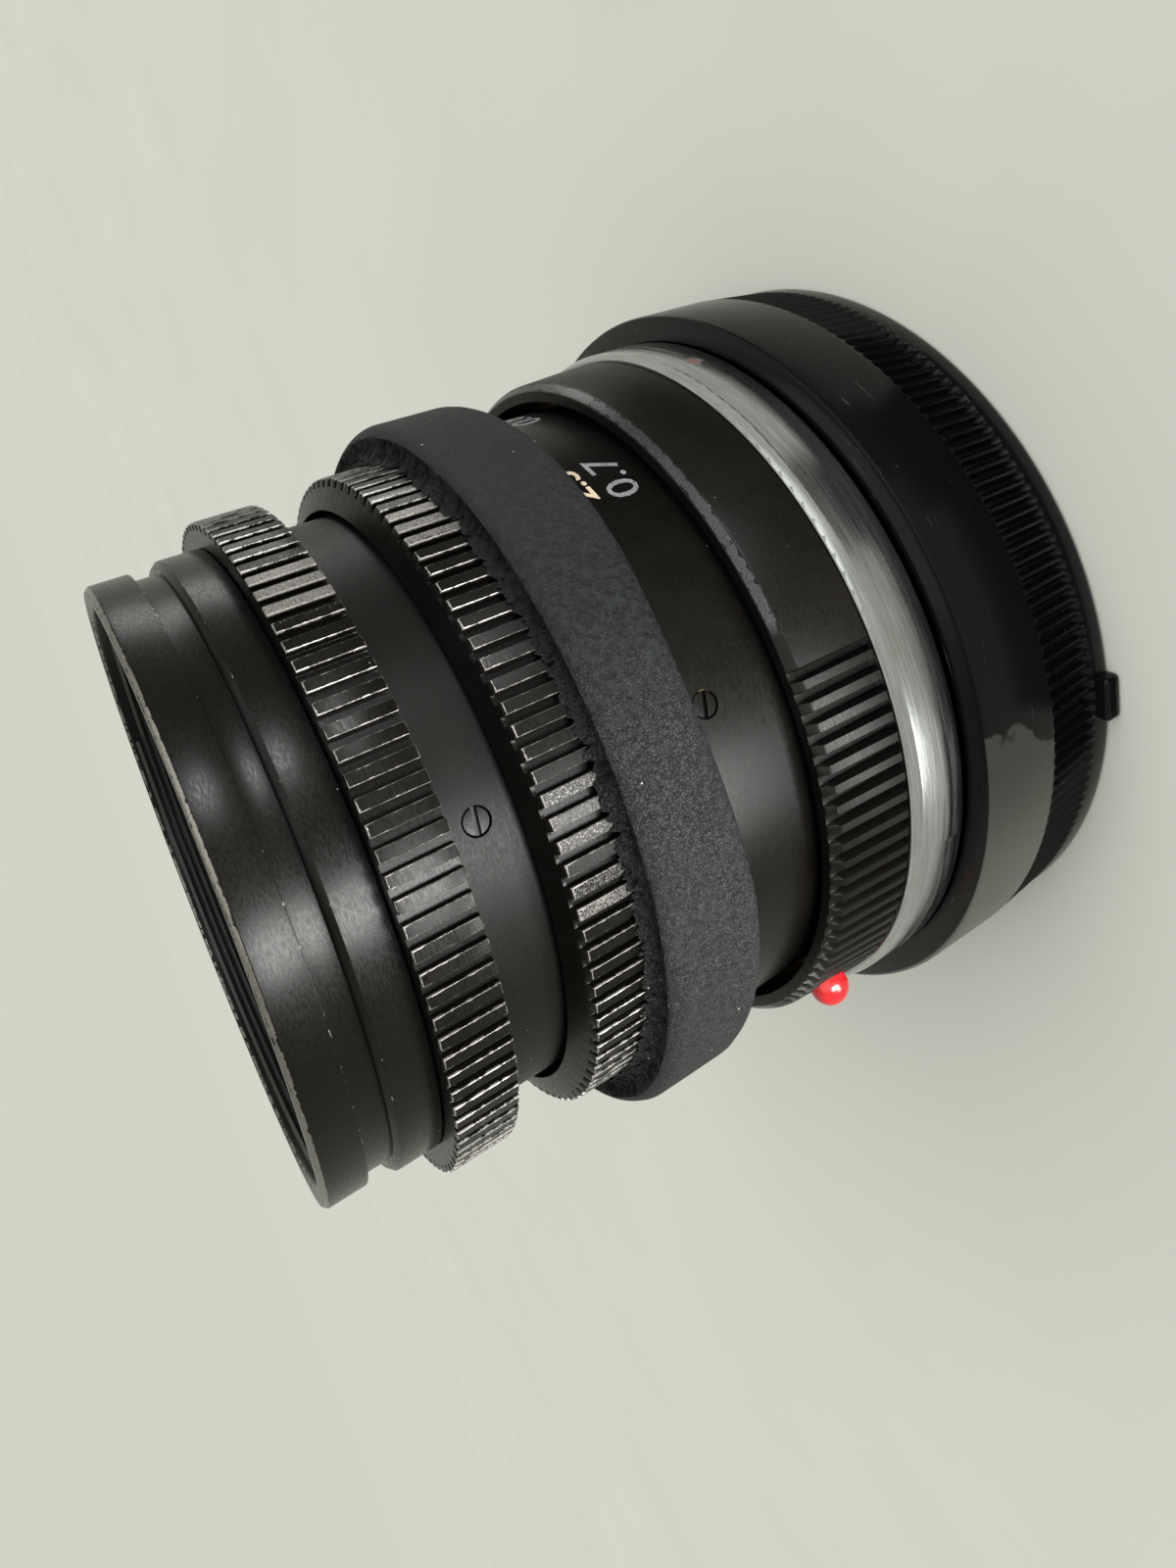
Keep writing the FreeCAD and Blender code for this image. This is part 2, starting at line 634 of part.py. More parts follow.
def flange_screws():
    """Slotted screws that clamp the flange, the collar and the outer helicoid."""
    screws = []
    shank = d.flange_length - d.screw_head_length - d.face_gap + d.collar_web
    azimuths = round_azimuths(d.flange_screw_count, d.flange_screw_angle)
    for index, azimuth in enumerate(azimuths, start=1):
        screw = slotted_screw(f"flange_screw_{index}", d.screw_head_radius,
                              d.screw_head_length, d.screw_shank_radius, shank)
        screws.append(set_round(screw, azimuth, d.flange_screw_circle,
                                flange_face + d.face_gap, REARWARD))
    keep(grouped("flange_screw_group", screws), "flange_screws")


def mount_collar():
    """Collar with a worn front chamfer and two sectors of straight ribs."""
    seat_radius = d.collar_bore_radius + d.collar_seat
    seat_top = collar_rear + d.collar_web
    body = turned_body("collar_body", [
        (seat_radius, collar_rear),
        (d.collar_rear_radius, collar_rear),
        (d.collar_front_radius, collar_front - d.collar_chamfer),
        (d.collar_lip_radius, collar_front),
        (d.collar_bore_radius, collar_front),
        (d.collar_bore_radius, seat_top),
        (seat_radius, seat_top),
    ])
    span = d.collar_groove_pitch * (d.collar_groove_count - 1)
    floor = d.collar_front_radius - d.collar_groove_depth
    for side, middle in (("near", Size(180)), ("far", FULL_TURN)):
        straight_grooves(body, f"collar_{side}_ribs", floor, d.collar_rear_radius,
                         d.collar_groove_width, collar_rear, d.collar_length,
                         d.collar_groove_count, middle - span / 2, span)
    drilled = radial_holes("collar_bead_hole", body, d.bead_radius + d.seat_clearance,
                           d.collar_rear_radius - d.bead_seat,
                           d.collar_rear_radius + d.bead_radius,
                           [d.bead_angle], collar_rear + d.bead_height)
    keep(drilled, "mount_collar")


def alignment_bead():
    """Round-topped bead on a stem set in the collar."""
    stem_length = d.bead_seat - d.seat_clearance
    stem = primitive("Cylinder", "bead_stem", Radius=d.bead_radius, Height=stem_length)
    ball = primitive("Sphere", "bead_ball", Radius=d.bead_radius, Angle1=ZERO)
    move_to(ball, up=stem_length)
    bead = joined("bead_joined", [stem, ball])
    set_round(bead, d.bead_angle, d.collar_rear_radius - stem_length,
              collar_rear + d.bead_height, OUTWARD)
    keep(bead, "alignment_bead")


def outer_helicoid():
    """Fixed threaded tube whose flange is clamped under the collar."""
    flange_radius = d.collar_bore_radius + d.collar_seat - d.seat_clearance
    wall_radius = helicoid_outer_bore + d.helicoid_wall
    flange_top = collar_rear + d.collar_web
    top = helicoid_flange_rear - d.helicoid_gap
    body = turned_body("outer_helicoid_body", [
        (helicoid_outer_bore, collar_rear),
        (flange_radius, collar_rear),
        (flange_radius, flange_top),
        (wall_radius, flange_top),
        (wall_radius, top),
        (helicoid_outer_bore, top),
    ])
    drill_round(body, "helicoid_screw_holes", d.flange_screw_circle, screw_hole,
                collar_rear, d.collar_web, d.flange_screw_count, d.flange_screw_angle)
    keep(body, "outer_helicoid")


def guide_key():
    """Key in the flange's bore that stops the head from turning, with two screws."""
    top = collar_rear - d.key_length / 6
    inner = d.flange_bore_radius - d.key_reach
    thickness = d.key_reach - d.face_gap
    block = primitive("Box", "key_block", Length=thickness, Width=d.key_width,
                      Height=d.key_length)
    block.Placement = FreeCAD.Placement(
        VECTOR(0, 0, 0), FreeCAD.Rotation(UP, d.key_angle.value))
    side = d.key_width / 2
    sine, cosine = d.key_angle.sine(), d.key_angle.cosine()
    move_to(block, inner * cosine + side * sine, inner * sine - side * cosine,
            top - d.key_length)
    heights = [top - d.key_length * share for share in (0.27, 0.73)]
    drilled = block
    screws = []
    for index, height in enumerate(heights, start=1):
        drilled = radial_holes(f"key_hole_{index}", drilled, screw_hole,
                               inner - d.face_gap, d.flange_bore_radius, [d.key_angle],
                               height)
        screw = slotted_screw(f"key_screw_{index}", d.screw_shank_radius,
                              d.screw_head_length, d.screw_shank_radius,
                              thickness - d.screw_head_length)
        screws.append(set_round(screw, d.key_angle, inner, height, INWARD))
    keep(drilled, "guide_key")
    keep(grouped("key_screw_group", screws), "guide_key_screws")


def rangefinder_cam():
    """Sleeve behind the head that moves the camera's roller; it has the key's slot."""
    end = flange_face - d.cam_reach
    flange_rear = tube_rear - d.cam_flange_length
    spigot = d.tube_tail_bore - d.seat_clearance
    body = turned_body("cam_body", [
        (cam_bore, end),
        (d.cam_radius, end),
        (d.cam_radius, flange_rear),
        (d.cam_flange_radius, flange_rear),
        (d.cam_flange_radius, tube_rear),
        (spigot, tube_rear),
        (spigot, tube_rear + d.cam_flange_length * 2),
        (cam_bore, tube_rear + d.cam_flange_length * 2),
    ])
    key_top = collar_rear - d.key_length / 6
    half = d.key_width / 2 + d.key_play
    slot_bottom = key_top - d.key_length - d.focus_travel - d.face_gap * 3
    slot_top = key_top + d.face_gap * 3
    sketch = cutting_sketch(body, "cam_key_slot", slot_bottom, d.key_angle)
    polygon(sketch, [
        (cam_bore - half, half * -1),
        (d.cam_radius + half, half * -1),
        (d.cam_radius + half, half),
        (cam_bore - half, half),
    ])
    pocket_up(body, "cam_key_slot_cut", sketch, slot_top - slot_bottom)
    keep(body, "rangefinder_cam")


def focus_helicoid():
    """Threaded sleeve that turns on the head tube and carries the focus ring."""
    bore = d.tube_rear_radius + d.running_clearance
    rear = tube_rear + d.running_clearance
    body = turned_body("focus_helicoid_body", [
        (bore, rear),
        (d.helicoid_radius, rear),
        (d.helicoid_radius, helicoid_flange_rear),
        (d.helicoid_flange_radius, helicoid_flange_rear),
        (d.helicoid_flange_radius, helicoid_front),
        (bore, helicoid_front),
    ])
    azimuths = round_azimuths(d.set_screw_count, d.focus_screw_angle)
    drilled = radial_holes("focus_helicoid_holes", body, screw_hole, d.helicoid_radius,
                           d.scale_radius, azimuths, sleeve_front - d.focus_screw_depth)
    keep(drilled, "focus_helicoid")


def focus_ring():
    """Ribbed ring and distance scale in one, with a sloping front face."""
    flange_bore = d.helicoid_flange_radius + d.seat_clearance
    scale_rear = collar_rear + d.collar_web + d.scale_tail_gap
    mouth = ribs_front + d.focus_nose_length
    inner_step = helicoid_front + d.face_gap
    body = turned_body("focus_ring_body", [
        (flange_bore, scale_rear),
        (d.scale_radius, scale_rear),
        (d.scale_radius, ribs_rear),
        (d.focus_rib_radius, ribs_rear),
        (d.focus_rib_radius, ribs_front),
        (d.focus_mouth_radius, mouth),
        (d.focus_mouth_radius, inner_step),
        (flange_bore, inner_step),
    ])
    straight_grooves(body, "focus_grip", d.focus_rib_radius - d.focus_groove_depth,
                     d.focus_rib_radius, d.focus_groove_width, ribs_rear,
                     d.focus_rib_length + d.focus_nose_length, d.focus_groove_count)
    azimuths = round_azimuths(d.set_screw_count, d.focus_screw_angle)
    drilled = radial_holes("focus_ring_holes", body, head_hole, d.helicoid_radius,
                           d.scale_radius + d.screw_head_length, azimuths,
                           sleeve_front - d.focus_screw_depth)
    keep(drilled, "focus_ring")


def ring_screws(name, face_radius, shank_end, first, height):
    """Three slotted screws whose heads lie just under a ring's surface."""
    screws = []
    face = face_radius - d.screw_play
    for index, azimuth in enumerate(round_azimuths(d.set_screw_count, first), start=1):
        screw = slotted_screw(f"{name}_{index}", d.screw_head_radius, d.screw_head_length,
                              d.screw_shank_radius, face - d.screw_head_length - shank_end)
        screws.append(set_round(screw, azimuth, face, height, OUTWARD))
    keep(grouped(f"{name}_group", screws), name)


def grip_band():
    """Rubber band stretched over the rear of the ribs and the front of the scale."""
    front = ribs_front - d.band_setback
    rear = front - d.band_length
    over_ribs = d.focus_rib_radius + d.band_fit
    over_scale = d.scale_radius + d.band_fit
    step = ribs_rear + d.band_fit
    body = turned_body("band_body", [
        (over_scale, rear),
        (d.band_radius, rear),
        (d.band_radius, front),
        (over_ribs, front),
        (over_ribs, step),
        (over_scale, step),
    ])
    for name, height, size in (("front", front, d.band_front_round),
                               ("rear", rear, d.band_rear_round)):
        edges = [
            f"Edge{index}" for index, edge in enumerate(body.Tip.Shape.Edges, start=1)
            if isinstance(edge.Curve, Part.Circle)
            and abs(edge.Curve.Radius - d.band_radius.value) < 1e-6
            and abs(edge.Curve.Center.z - height.value) < 1e-6]
        turned = body.Tip
        rounding = body.newObject("PartDesign::Fillet", f"band_{name}_round")
        rounding.Base = (turned, edges)
        bind(rounding, "Radius", size)
        body.Tip = rounding
        doc.recompute()
    keep(body, "grip_band")


def front_barrel():
    """Rim with the filter thread's bore, the hood-clip groove and the second band."""
    tube_fit = d.tube_radius + d.seat_clearance
    web_rear = tube_front + d.face_gap
    body = turned_body("front_barrel_body", [
        (tube_fit, barrel_rear),
        (d.front_band_radius, barrel_rear),
        (d.front_band_radius, band_front - d.front_band_chamfer),
        (d.front_band_radius - d.front_band_chamfer, band_front),
        (d.clip_groove_radius, band_front),
        (d.clip_groove_radius, rim_rear),
        (d.rim_radius, rim_rear),
        (d.rim_radius, front_rim - d.rim_chamfer),
        (d.rim_radius - d.rim_chamfer, front_rim),
        (d.filter_radius + d.rim_chamfer, front_rim),
        (d.filter_radius, front_rim - d.rim_chamfer),
        (d.filter_radius, filter_floor),
        (d.front_web_radius, filter_floor),
        (d.front_web_radius, web_rear),
        (tube_fit, web_rear),
    ])
    hole_radius = d.click_ball_radius + d.seat_clearance
    drill_round(body, "click_hole", click_circle(), hole_radius, barrel_rear,
                d.click_hole_depth, Size(1), d.click_angle)
    keep(body, "front_barrel")


def click_circle():
    """Radius at which the click ball sits, midway in the barrel's wall."""
    return (d.tube_radius + d.seat_clearance + d.front_band_radius) / 2


def click_ball():
    """Ball in the front barrel that rides on the aperture ring's front face."""
    ball = primitive("Sphere", "click_ball_sphere", Radius=d.click_ball_radius)
    set_round(ball, d.click_angle, click_circle(),
              barrel_rear - d.face_gap + d.click_ball_radius + d.iris_pin_play, FORWARD)
    keep(ball, "click_ball")


def aperture_ring():
    """Ribbed ring that turns on the head tube."""
    edge = d.aperture_edge
    body = turned_body("aperture_ring_body", [
        (sleeve_bore, aperture_rear),
        (d.aperture_ring_radius - edge, aperture_rear),
        (d.aperture_ring_radius, aperture_rear + edge),
        (d.aperture_ring_radius, aperture_front - edge),
        (d.aperture_ring_radius - edge, aperture_front),
        (sleeve_bore, aperture_front),
    ])
    straight_grooves(body, "aperture_grip",
                     d.aperture_ring_radius - d.aperture_groove_depth,
                     d.aperture_ring_radius, d.aperture_groove_width, aperture_rear,
                     d.aperture_ring_length, d.aperture_groove_count)
    drilled = radial_holes("aperture_drive_hole", body,
                           d.drive_screw_radius + d.screw_play, d.tube_radius,
                           d.aperture_ring_radius + d.drive_screw_radius,
                           [d.drive_screw_angle], drive_screw_height)
    keep(drilled, "aperture_ring")


def aperture_drive_screw():
    """Screw from the aperture ring through the head tube's slot to the control ring."""
    face = d.aperture_ring_radius - d.drive_screw_seat
    skirt_inside = d.tube_bore_radius - d.control_ring_play - d.control_skirt_wall
    head_length = face - sleeve_bore - d.face_gap
    shank_length = face - head_length - skirt_inside
    screw = slotted_screw("drive_screw", d.drive_screw_radius, head_length,
                          d.screw_shank_radius, shank_length)
    keep(set_round(screw, d.drive_screw_angle, face, drive_screw_height, OUTWARD),
         "aperture_drive_screw")


def barrel_sleeve():
    """Smooth barrel fixed on the head tube behind the aperture ring."""
    bore = d.tube_radius + d.seat_clearance
    body = turned_body("sleeve_body", tube_section(
        bore, d.sleeve_radius, sleeve_rear, sleeve_front))
    azimuths = round_azimuths(d.set_screw_count, d.sleeve_screw_angle)
    drilled = radial_holes("sleeve_holes", body, head_hole, d.tube_bore_radius,
                           d.sleeve_radius + d.screw_head_length, azimuths,
                           sleeve_front - d.sleeve_screw_depth)
    keep(drilled, "barrel_sleeve")


def head_tube():
    """Tube that carries the optics and the iris, with the drive screw's slot."""
    shoulder_rear = iris_seat - d.tube_shoulder_length
    body = turned_body("tube_body", [
        (d.tube_tail_bore, tube_rear),
        (d.tube_rear_radius, tube_rear),
        (d.tube_rear_radius, sleeve_rear),
        (d.tube_radius, sleeve_rear),
        (d.tube_radius, tube_front),
        (d.tube_bore_radius, tube_front),
        (d.tube_bore_radius, iris_seat),
        (d.tube_shoulder_radius, iris_seat),
        (d.tube_shoulder_radius, shoulder_rear),
        (d.tube_tail_bore, shoulder_rear),
    ])
    half = screw_hole + d.screw_play
    end_play = Size(math.degrees(half.value / d.tube_bore_radius.value),
                    f"({half.text} / {d.tube_bore_radius.text} * 180 / pi)")
    arc_groove(body, "drive_slot", tube_section(
        d.tube_bore_radius - half, d.tube_radius + half,
        drive_screw_height - half, drive_screw_height + half),
        d.aperture_turn + end_play * 2, d.drive_screw_angle + d.aperture_turn / 2)
    azimuths = round_azimuths(d.set_screw_count, d.sleeve_screw_angle)
    drilled = radial_holes("tube_holes", body, screw_hole,
                           d.tube_bore_radius - d.screw_head_length, d.sleeve_radius,
                           azimuths, sleeve_front - d.sleeve_screw_depth)
    keep(drilled, "head_tube")


def drive_path(turn):
    """Place of a drive pin seen from the control ring, for a blade's turn in degrees."""
    angle = math.radians(turn)
    pin = VECTOR(d.iris_pivot_circle.value + d.iris_drive_arm.value * math.sin(angle),
                 -d.iris_drive_arm.value * math.cos(angle), 0)
    ring_turn = turn * d.aperture_turn.value / d.blade_turn.value
    return FreeCAD.Rotation(UP, -ring_turn).multVec(pin)


def drive_slot():
    """One curved slot of the control ring, as wide as the pin and its play."""
    half = d.iris_pin_radius.value + d.iris_pin_play.value
    steps = 8
    turns = [d.blade_turn.value * step / steps for step in range(steps + 1)]
    sides = {1: [], -1: []}
    ends = []
    for turn in turns:
        ahead = drive_path(turn + 0.01) - drive_path(turn - 0.01)
        ahead.normalize()
        across = UP.cross(ahead)
        for side, points in sides.items():
            points.append(drive_path(turn) + across * half * side)
        if turn in (turns[0], turns[-1]):
            ends.append(drive_path(turn) + ahead * half * (1 if ends else -1))
    edges = []
    for side in (1, -1):
        curve = Part.BSplineCurve()
        curve.interpolate(sides[side])
        edges.append(curve.toShape())
    edges.append(Part.Arc(sides[1][0], ends[0], sides[-1][0]).toShape())
    edges.append(Part.Arc(sides[1][-1], ends[1], sides[-1][-1]).toShape())
    return Part.Face(Part.Wire(Part.__sortEdges__(edges)))


def iris_control_ring():
    """Ring whose curved slots drive the blades, on a skirt that the screw turns."""
    outer = d.tube_bore_radius - d.control_ring_play
    skirt_inside = outer - d.control_skirt_wall
    skirt_top = drive_screw_height + d.control_skirt_lead
    body = turned_body("control_body", [
        (d.control_web_bore, web_bottom),
        (outer, web_bottom),
        (outer, skirt_top),
        (skirt_inside, skirt_top),
        (skirt_inside, web_top),
        (d.control_web_bore, web_top),
    ])
    slot = drive_slot()
    slot.translate(VECTOR(0, 0, web_bottom.value - d.blade_gap.value))
    prism = slot.extrude(VECTOR(0, 0, d.control_web.value + d.blade_gap.value))
    step = 360 / d.blade_count.value
    prisms = []
    for index in range(round(d.blade_count.value)):
        copy = prism.copy()
        copy.rotate(VECTOR(0, 0, 0), UP, step * index)
        prisms.append(copy)
    slots = doc.addObject("Part::Feature", "control_slots")
    slots.Shape = Part.makeCompound(prisms)
    slotted = cut_from("control_slotted", body, slots)
    drilled = radial_holes("control_drive_hole", slotted, screw_hole,
                           skirt_inside - d.control_skirt_wall, d.tube_radius,
                           [d.drive_screw_angle], drive_screw_height)
    keep(drilled, "iris_control_ring")


def iris_base_ring():
    """Ring with the full aperture and the blades' pivot holes."""
    body = turned_body("iris_base_body", tube_section(
        d.iris_stop_radius, d.tube_bore_radius - d.seat_clearance, iris_seat, iris_base_top))
    drill_round(body, "pivot_holes", d.iris_pivot_circle,
                d.iris_pin_radius + d.iris_pin_play, iris_seat, d.iris_base_thickness,
                d.blade_count)
    keep(body, "iris_base_ring")


def iris_blade(number):
    """One leaf: a crescent with a pivot pin below and a drive pin on a tail above."""
    name = f"blade_{number}"
    level = blades_bottom + blade_pitch * (number - 1)
    outer = primitive("Cylinder", f"{name}_outer", Radius=d.blade_outer_radius,
                      Height=d.blade_thickness, Angle=d.blade_sweep)
    inner = primitive("Cylinder", f"{name}_inner", Radius=d.blade_inner_radius,
                      Height=d.blade_thickness)
    crescent = cut_from(f"{name}_crescent", outer, inner)
    middle = (d.blade_outer_radius + d.blade_inner_radius) / 2
    tip = primitive("Cylinder", f"{name}_tip",
                    Radius=(d.blade_outer_radius - d.blade_inner_radius) / 2,
                    Height=d.blade_thickness)
    move_to(tip, middle * d.blade_sweep.cosine(), middle * d.blade_sweep.sine())
    lobe = primitive("Cylinder", f"{name}_lobe", Radius=d.blade_lobe_radius,
                     Height=d.blade_thickness)
    move_to(lobe, d.iris_pivot_circle)
    neck = primitive("Box", f"{name}_neck", Length=d.iris_pivot_circle - middle,
                     Width=d.blade_lobe_radius * 2, Height=d.blade_thickness)
    move_to(neck, middle, d.blade_lobe_radius * -1)
    tail = primitive("Box", f"{name}_tail", Length=d.blade_lobe_radius * 2,
                     Width=d.iris_drive_arm, Height=d.blade_thickness)
    move_to(tail, d.iris_pivot_circle - d.blade_lobe_radius, d.iris_drive_arm * -1)
    tail_lobe = primitive("Cylinder", f"{name}_tail_lobe", Radius=d.blade_lobe_radius,
                          Height=d.blade_thickness)
    move_to(tail_lobe, d.iris_pivot_circle, d.iris_drive_arm * -1)
    pin_end = d.face_gap
    pivot_length = level - iris_seat - pin_end
    pivot = primitive("Cylinder", f"{name}_pivot", Radius=d.iris_pin_radius,
                      Height=pivot_length + d.blade_thickness)
    move_to(pivot, d.iris_pivot_circle, ZERO, pivot_length * -1)
    drive = primitive("Cylinder", f"{name}_drive", Radius=d.iris_pin_radius,
                      Height=web_top - pin_end - level)
    move_to(drive, d.iris_pivot_circle, d.iris_drive_arm * -1)
    blade = joined(f"{name}_joined",
                   [crescent, tip, lobe, neck, tail, tail_lobe, pivot, drive])
    turn = FULL_TURN / d.blade_count * (number - 1)
    blade.Placement = FreeCAD.Placement(VECTOR(0, 0, 0), FreeCAD.Rotation(UP, turn.value))
    move_to(blade, up=level)
    keep(blade, f"iris_blade_{number}")


def draw_surface(sketch, vertex, curve, clear, rim, bulges_up):
    """Draws a spherical surface's half section and the flat ring round it, if any.

    Returns the sketch points at its vertex and at its rim.
    """
    rim_angle = math.acos(clear.value / curve.value)
    if bulges_up:
        circle = Part.Circle(VECTOR(0, vertex.value - curve.value, 0), UP, curve.value)
        arc = Part.ArcOfCircle(circle, rim_angle, math.pi / 2)
        outer, inner = 1, 2
    else:
        circle = Part.Circle(VECTOR(0, vertex.value + curve.value, 0), UP, curve.value)
        arc = Part.ArcOfCircle(circle, -math.pi / 2, -rim_angle)
        inner, outer = 1, 2
    index = sketch.addGeometry(arc, False)
    place_point(sketch, index, inner, ZERO, vertex)
    sketch.addConstraint(Sketcher.Constraint("PointOnObject", index, 3, -2))
    radius = sketch.addConstraint(Sketcher.Constraint("Radius", index, curve.value))
    sketch.setExpression(f"Constraints[{radius}]", curve.text)
    width = sketch.addConstraint(
        Sketcher.Constraint("DistanceX", -1, 1, index, outer, clear.value))
    sketch.setExpression(f"Constraints[{width}]", clear.text)
    rim_point = (index, outer)
    if clear.value < rim.value:
        height = vertex.value + sag(curve, clear).value * (-1 if bulges_up else 1)
        flat = sketch.addGeometry(Part.LineSegment(
            VECTOR(clear.value, height, 0), VECTOR(rim.value, height, 0)), False)
        sketch.addConstraint(Sketcher.Constraint("Coincident", flat, 1, *rim_point))
        sketch.addConstraint(Sketcher.Constraint("Horizontal", flat))
        reach = sketch.addConstraint(
            Sketcher.Constraint("DistanceX", -1, 1, flat, 2, rim.value))
        sketch.setExpression(f"Constraints[{reach}]", rim.text)
        rim_point = (flat, 2)
    return (index, inner), rim_point


def join_points(sketch, first, second):
    """Draws a line between two points of a sketch."""
    line = sketch.addGeometry(Part.LineSegment(
        sketch.getPoint(*first), sketch.getPoint(*second)), False)
    sketch.addConstraint(Sketcher.Constraint("Coincident", line, 1, *first))
    sketch.addConstraint(Sketcher.Constraint("Coincident", line, 2, *second))


def glass(label, rim, front, rear):
    """A glass element: front and rear surfaces and a ground rim.

    Each surface is given by its vertex, its curve's radius, its clear radius and
    whether its middle stands higher than its edge.
    """
    body = doc.addObject("PartDesign::Body", f"{label}_body")
    sketch = new_sketch(body, f"{label}_section", "XZ_Plane")
    front_middle, front_rim_point = draw_surface(sketch, *front[:3], rim, front[3])
    rear_middle, rear_rim_point = draw_surface(sketch, *rear[:3], rim, rear[3])
    join_points(sketch, front_rim_point, rear_rim_point)
    join_points(sketch, rear_middle, front_middle)
    revolve(body, f"{label}_turned", sketch)
    keep(body, label)


# Surfaces of the glass, as heights
one_top = front_rim - d.glass_one_vertex
one_bottom = one_top - d.glass_one_thickness
one_seat = one_bottom - sag(d.glass_one_rear, d.glass_one_rim)
two_top = front_rim - d.glass_two_vertex
two_bottom = two_top - d.glass_two_thickness
three_top = two_bottom - d.cement_gap
three_bottom = three_top - d.glass_three_thickness
three_seat = three_bottom - sag(d.glass_three_rear, d.glass_three_clear)
four_top = front_rim - d.glass_four_vertex
four_seat = four_top + sag(d.glass_four_front, d.glass_four_clear)
four_bottom = four_top - d.glass_four_thickness
five_top = four_bottom - d.cement_gap
five_bottom = five_top - d.glass_five_thickness
six_top = five_bottom - d.rear_air_gap
six_bottom = six_top - d.glass_six_thickness

# Retaining rings, each bearing on the glass just inside its rim
one_ring_bore = d.glass_one_rim - d.retainer_overlap
one_ring_outer = one_ring_bore + d.retainer_width
one_ring_bottom = one_top - sag(d.glass_one_front, one_ring_bore) + d.cement_gap
two_ring_bore = d.glass_two_rim - d.retainer_overlap
two_ring_outer = two_ring_bore + d.retainer_width
two_ring_bottom = two_top - sag(d.glass_two_front, two_ring_bore) + d.cement_gap
rear_ring_bore = d.rear_doublet_rim - d.retainer_overlap
rear_ring_top = six_bottom + sag(d.glass_six_rear, rear_ring_bore) - d.cement_gap
rear_ring_bottom = rear_ring_top - d.rear_ring_length
rear_cell_bottom = rear_ring_bottom - d.cell_lip


def front_glass():
    """Front element and the cemented doublet behind it."""
    glass("front_element", d.glass_one_rim,
          (one_top, d.glass_one_front, d.glass_one_rim, True),
          (one_bottom, d.glass_one_rear, d.glass_one_rim, True))
    glass("second_element", d.glass_two_rim,
          (two_top, d.glass_two_front, d.glass_two_rim, True),
          (two_bottom, d.glass_joint_radius, d.glass_two_rim, True))
    glass("third_element", d.glass_two_rim,
          (three_top, d.glass_joint_radius, d.glass_two_rim, True),
          (three_bottom, d.glass_three_rear, d.glass_three_clear, True))


def rear_glass():
    """Cemented doublet behind the iris and the rear element."""
    rim = d.rear_doublet_rim
    glass("fourth_element", rim,
          (four_top, d.glass_four_front, d.glass_four_clear, False),
          (four_bottom, d.rear_joint_radius, rim, True))
    glass("fifth_element", rim,
          (five_top, d.rear_joint_radius, rim, True),
          (five_bottom, d.glass_five_rear, rim, False))
    glass("sixth_element", rim,
          (six_top, d.glass_six_front, rim, True),
          (six_bottom, d.glass_six_rear, rim, False))


def front_cell():
    """Stepped holder of the front group, held by its flange in the head tube."""
    flange_rear = tube_front - d.front_cell_flange
    one_bore = d.glass_one_rim + d.seat_clearance
    two_bore = d.glass_two_rim + d.seat_clearance
    one_ring_seat = one_ring_outer + d.seat_clearance
    two_ring_seat = two_ring_outer + d.seat_clearance
    shoulder = one_seat - d.cement_gap
    lip_top = three_seat - d.cement_gap
    lip_bore = d.glass_three_clear + d.cell_lip / 2
    keep(turned_body("front_cell_body", [
        (lip_bore, lip_top - d.cell_lip),
        (d.front_cell_radius, lip_top - d.cell_lip),
        (d.front_cell_radius, flange_rear),
        (d.tube_bore_radius - d.seat_clearance, flange_rear),
        (d.tube_bore_radius - d.seat_clearance, tube_front),
        (one_ring_seat, tube_front),
        (one_ring_seat, one_ring_bottom),
        (one_bore, one_ring_bottom),
        (one_bore, shoulder),
        (two_ring_seat, shoulder),
        (two_ring_seat, two_ring_bottom),
        (two_bore, two_ring_bottom),
        (two_bore, lip_top),
        (lip_bore, lip_top),
    ]), "front_cell")
    keep(turned_body("front_ring_body", tube_section(
        one_ring_bore, one_ring_outer, one_ring_bottom,
        one_ring_bottom + d.retainer_length)), "front_group_ring")
    keep(turned_body("doublet_ring_body", tube_section(
        two_ring_bore, two_ring_outer, two_ring_bottom,
        two_ring_bottom + d.retainer_length)), "front_doublet_ring")


def trim_ring():
    """Sloping ring round the front element, left bare."""
    top = front_rim - d.trim_ring_depth
    outer = d.front_web_radius - d.seat_clearance
    keep(turned_body("trim_ring_body", [
        (d.trim_ring_bore, top - d.trim_ring_length),
        (outer, top - d.trim_ring_length),
        (outer, top),
        (d.trim_ring_bore, top - d.trim_ring_slope),
    ]), "trim_ring")


def rear_cell():
    """Holder of the rear group, with its spacer and retaining ring."""
    flange_top = iris_seat - d.face_gap
    flange_radius = d.tube_shoulder_radius - d.seat_clearance
    flange_bottom = flange_top - d.rear_cell_flange
    bore = d.rear_doublet_rim + d.seat_clearance
    lip_bore = d.glass_four_clear + d.cell_lip / 2
    lip_bottom = four_seat + d.cement_gap
    outer = bore + d.rear_cell_wall
    keep(turned_body("rear_cell_body", [
        (bore, rear_cell_bottom),
        (outer, rear_cell_bottom),
        (outer, flange_bottom),
        (flange_radius, flange_bottom),
        (flange_radius, flange_top),
        (lip_bore, flange_top),
        (lip_bore, lip_bottom),
        (bore, lip_bottom),
    ]), "rear_cell")
    spacer_top = five_bottom + sag(d.glass_five_rear, rear_ring_bore) - d.cement_gap
    spacer_bottom = six_top - sag(d.glass_six_front, rear_ring_bore) + d.cement_gap
    keep(turned_body("rear_spacer_body", tube_section(
        rear_ring_bore, d.rear_doublet_rim, spacer_bottom, spacer_top)),
        "rear_group_spacer")
    keep(turned_body("rear_ring_body", tube_section(
        rear_ring_bore, d.rear_doublet_rim, rear_ring_bottom, rear_ring_top)),
        "rear_group_ring")


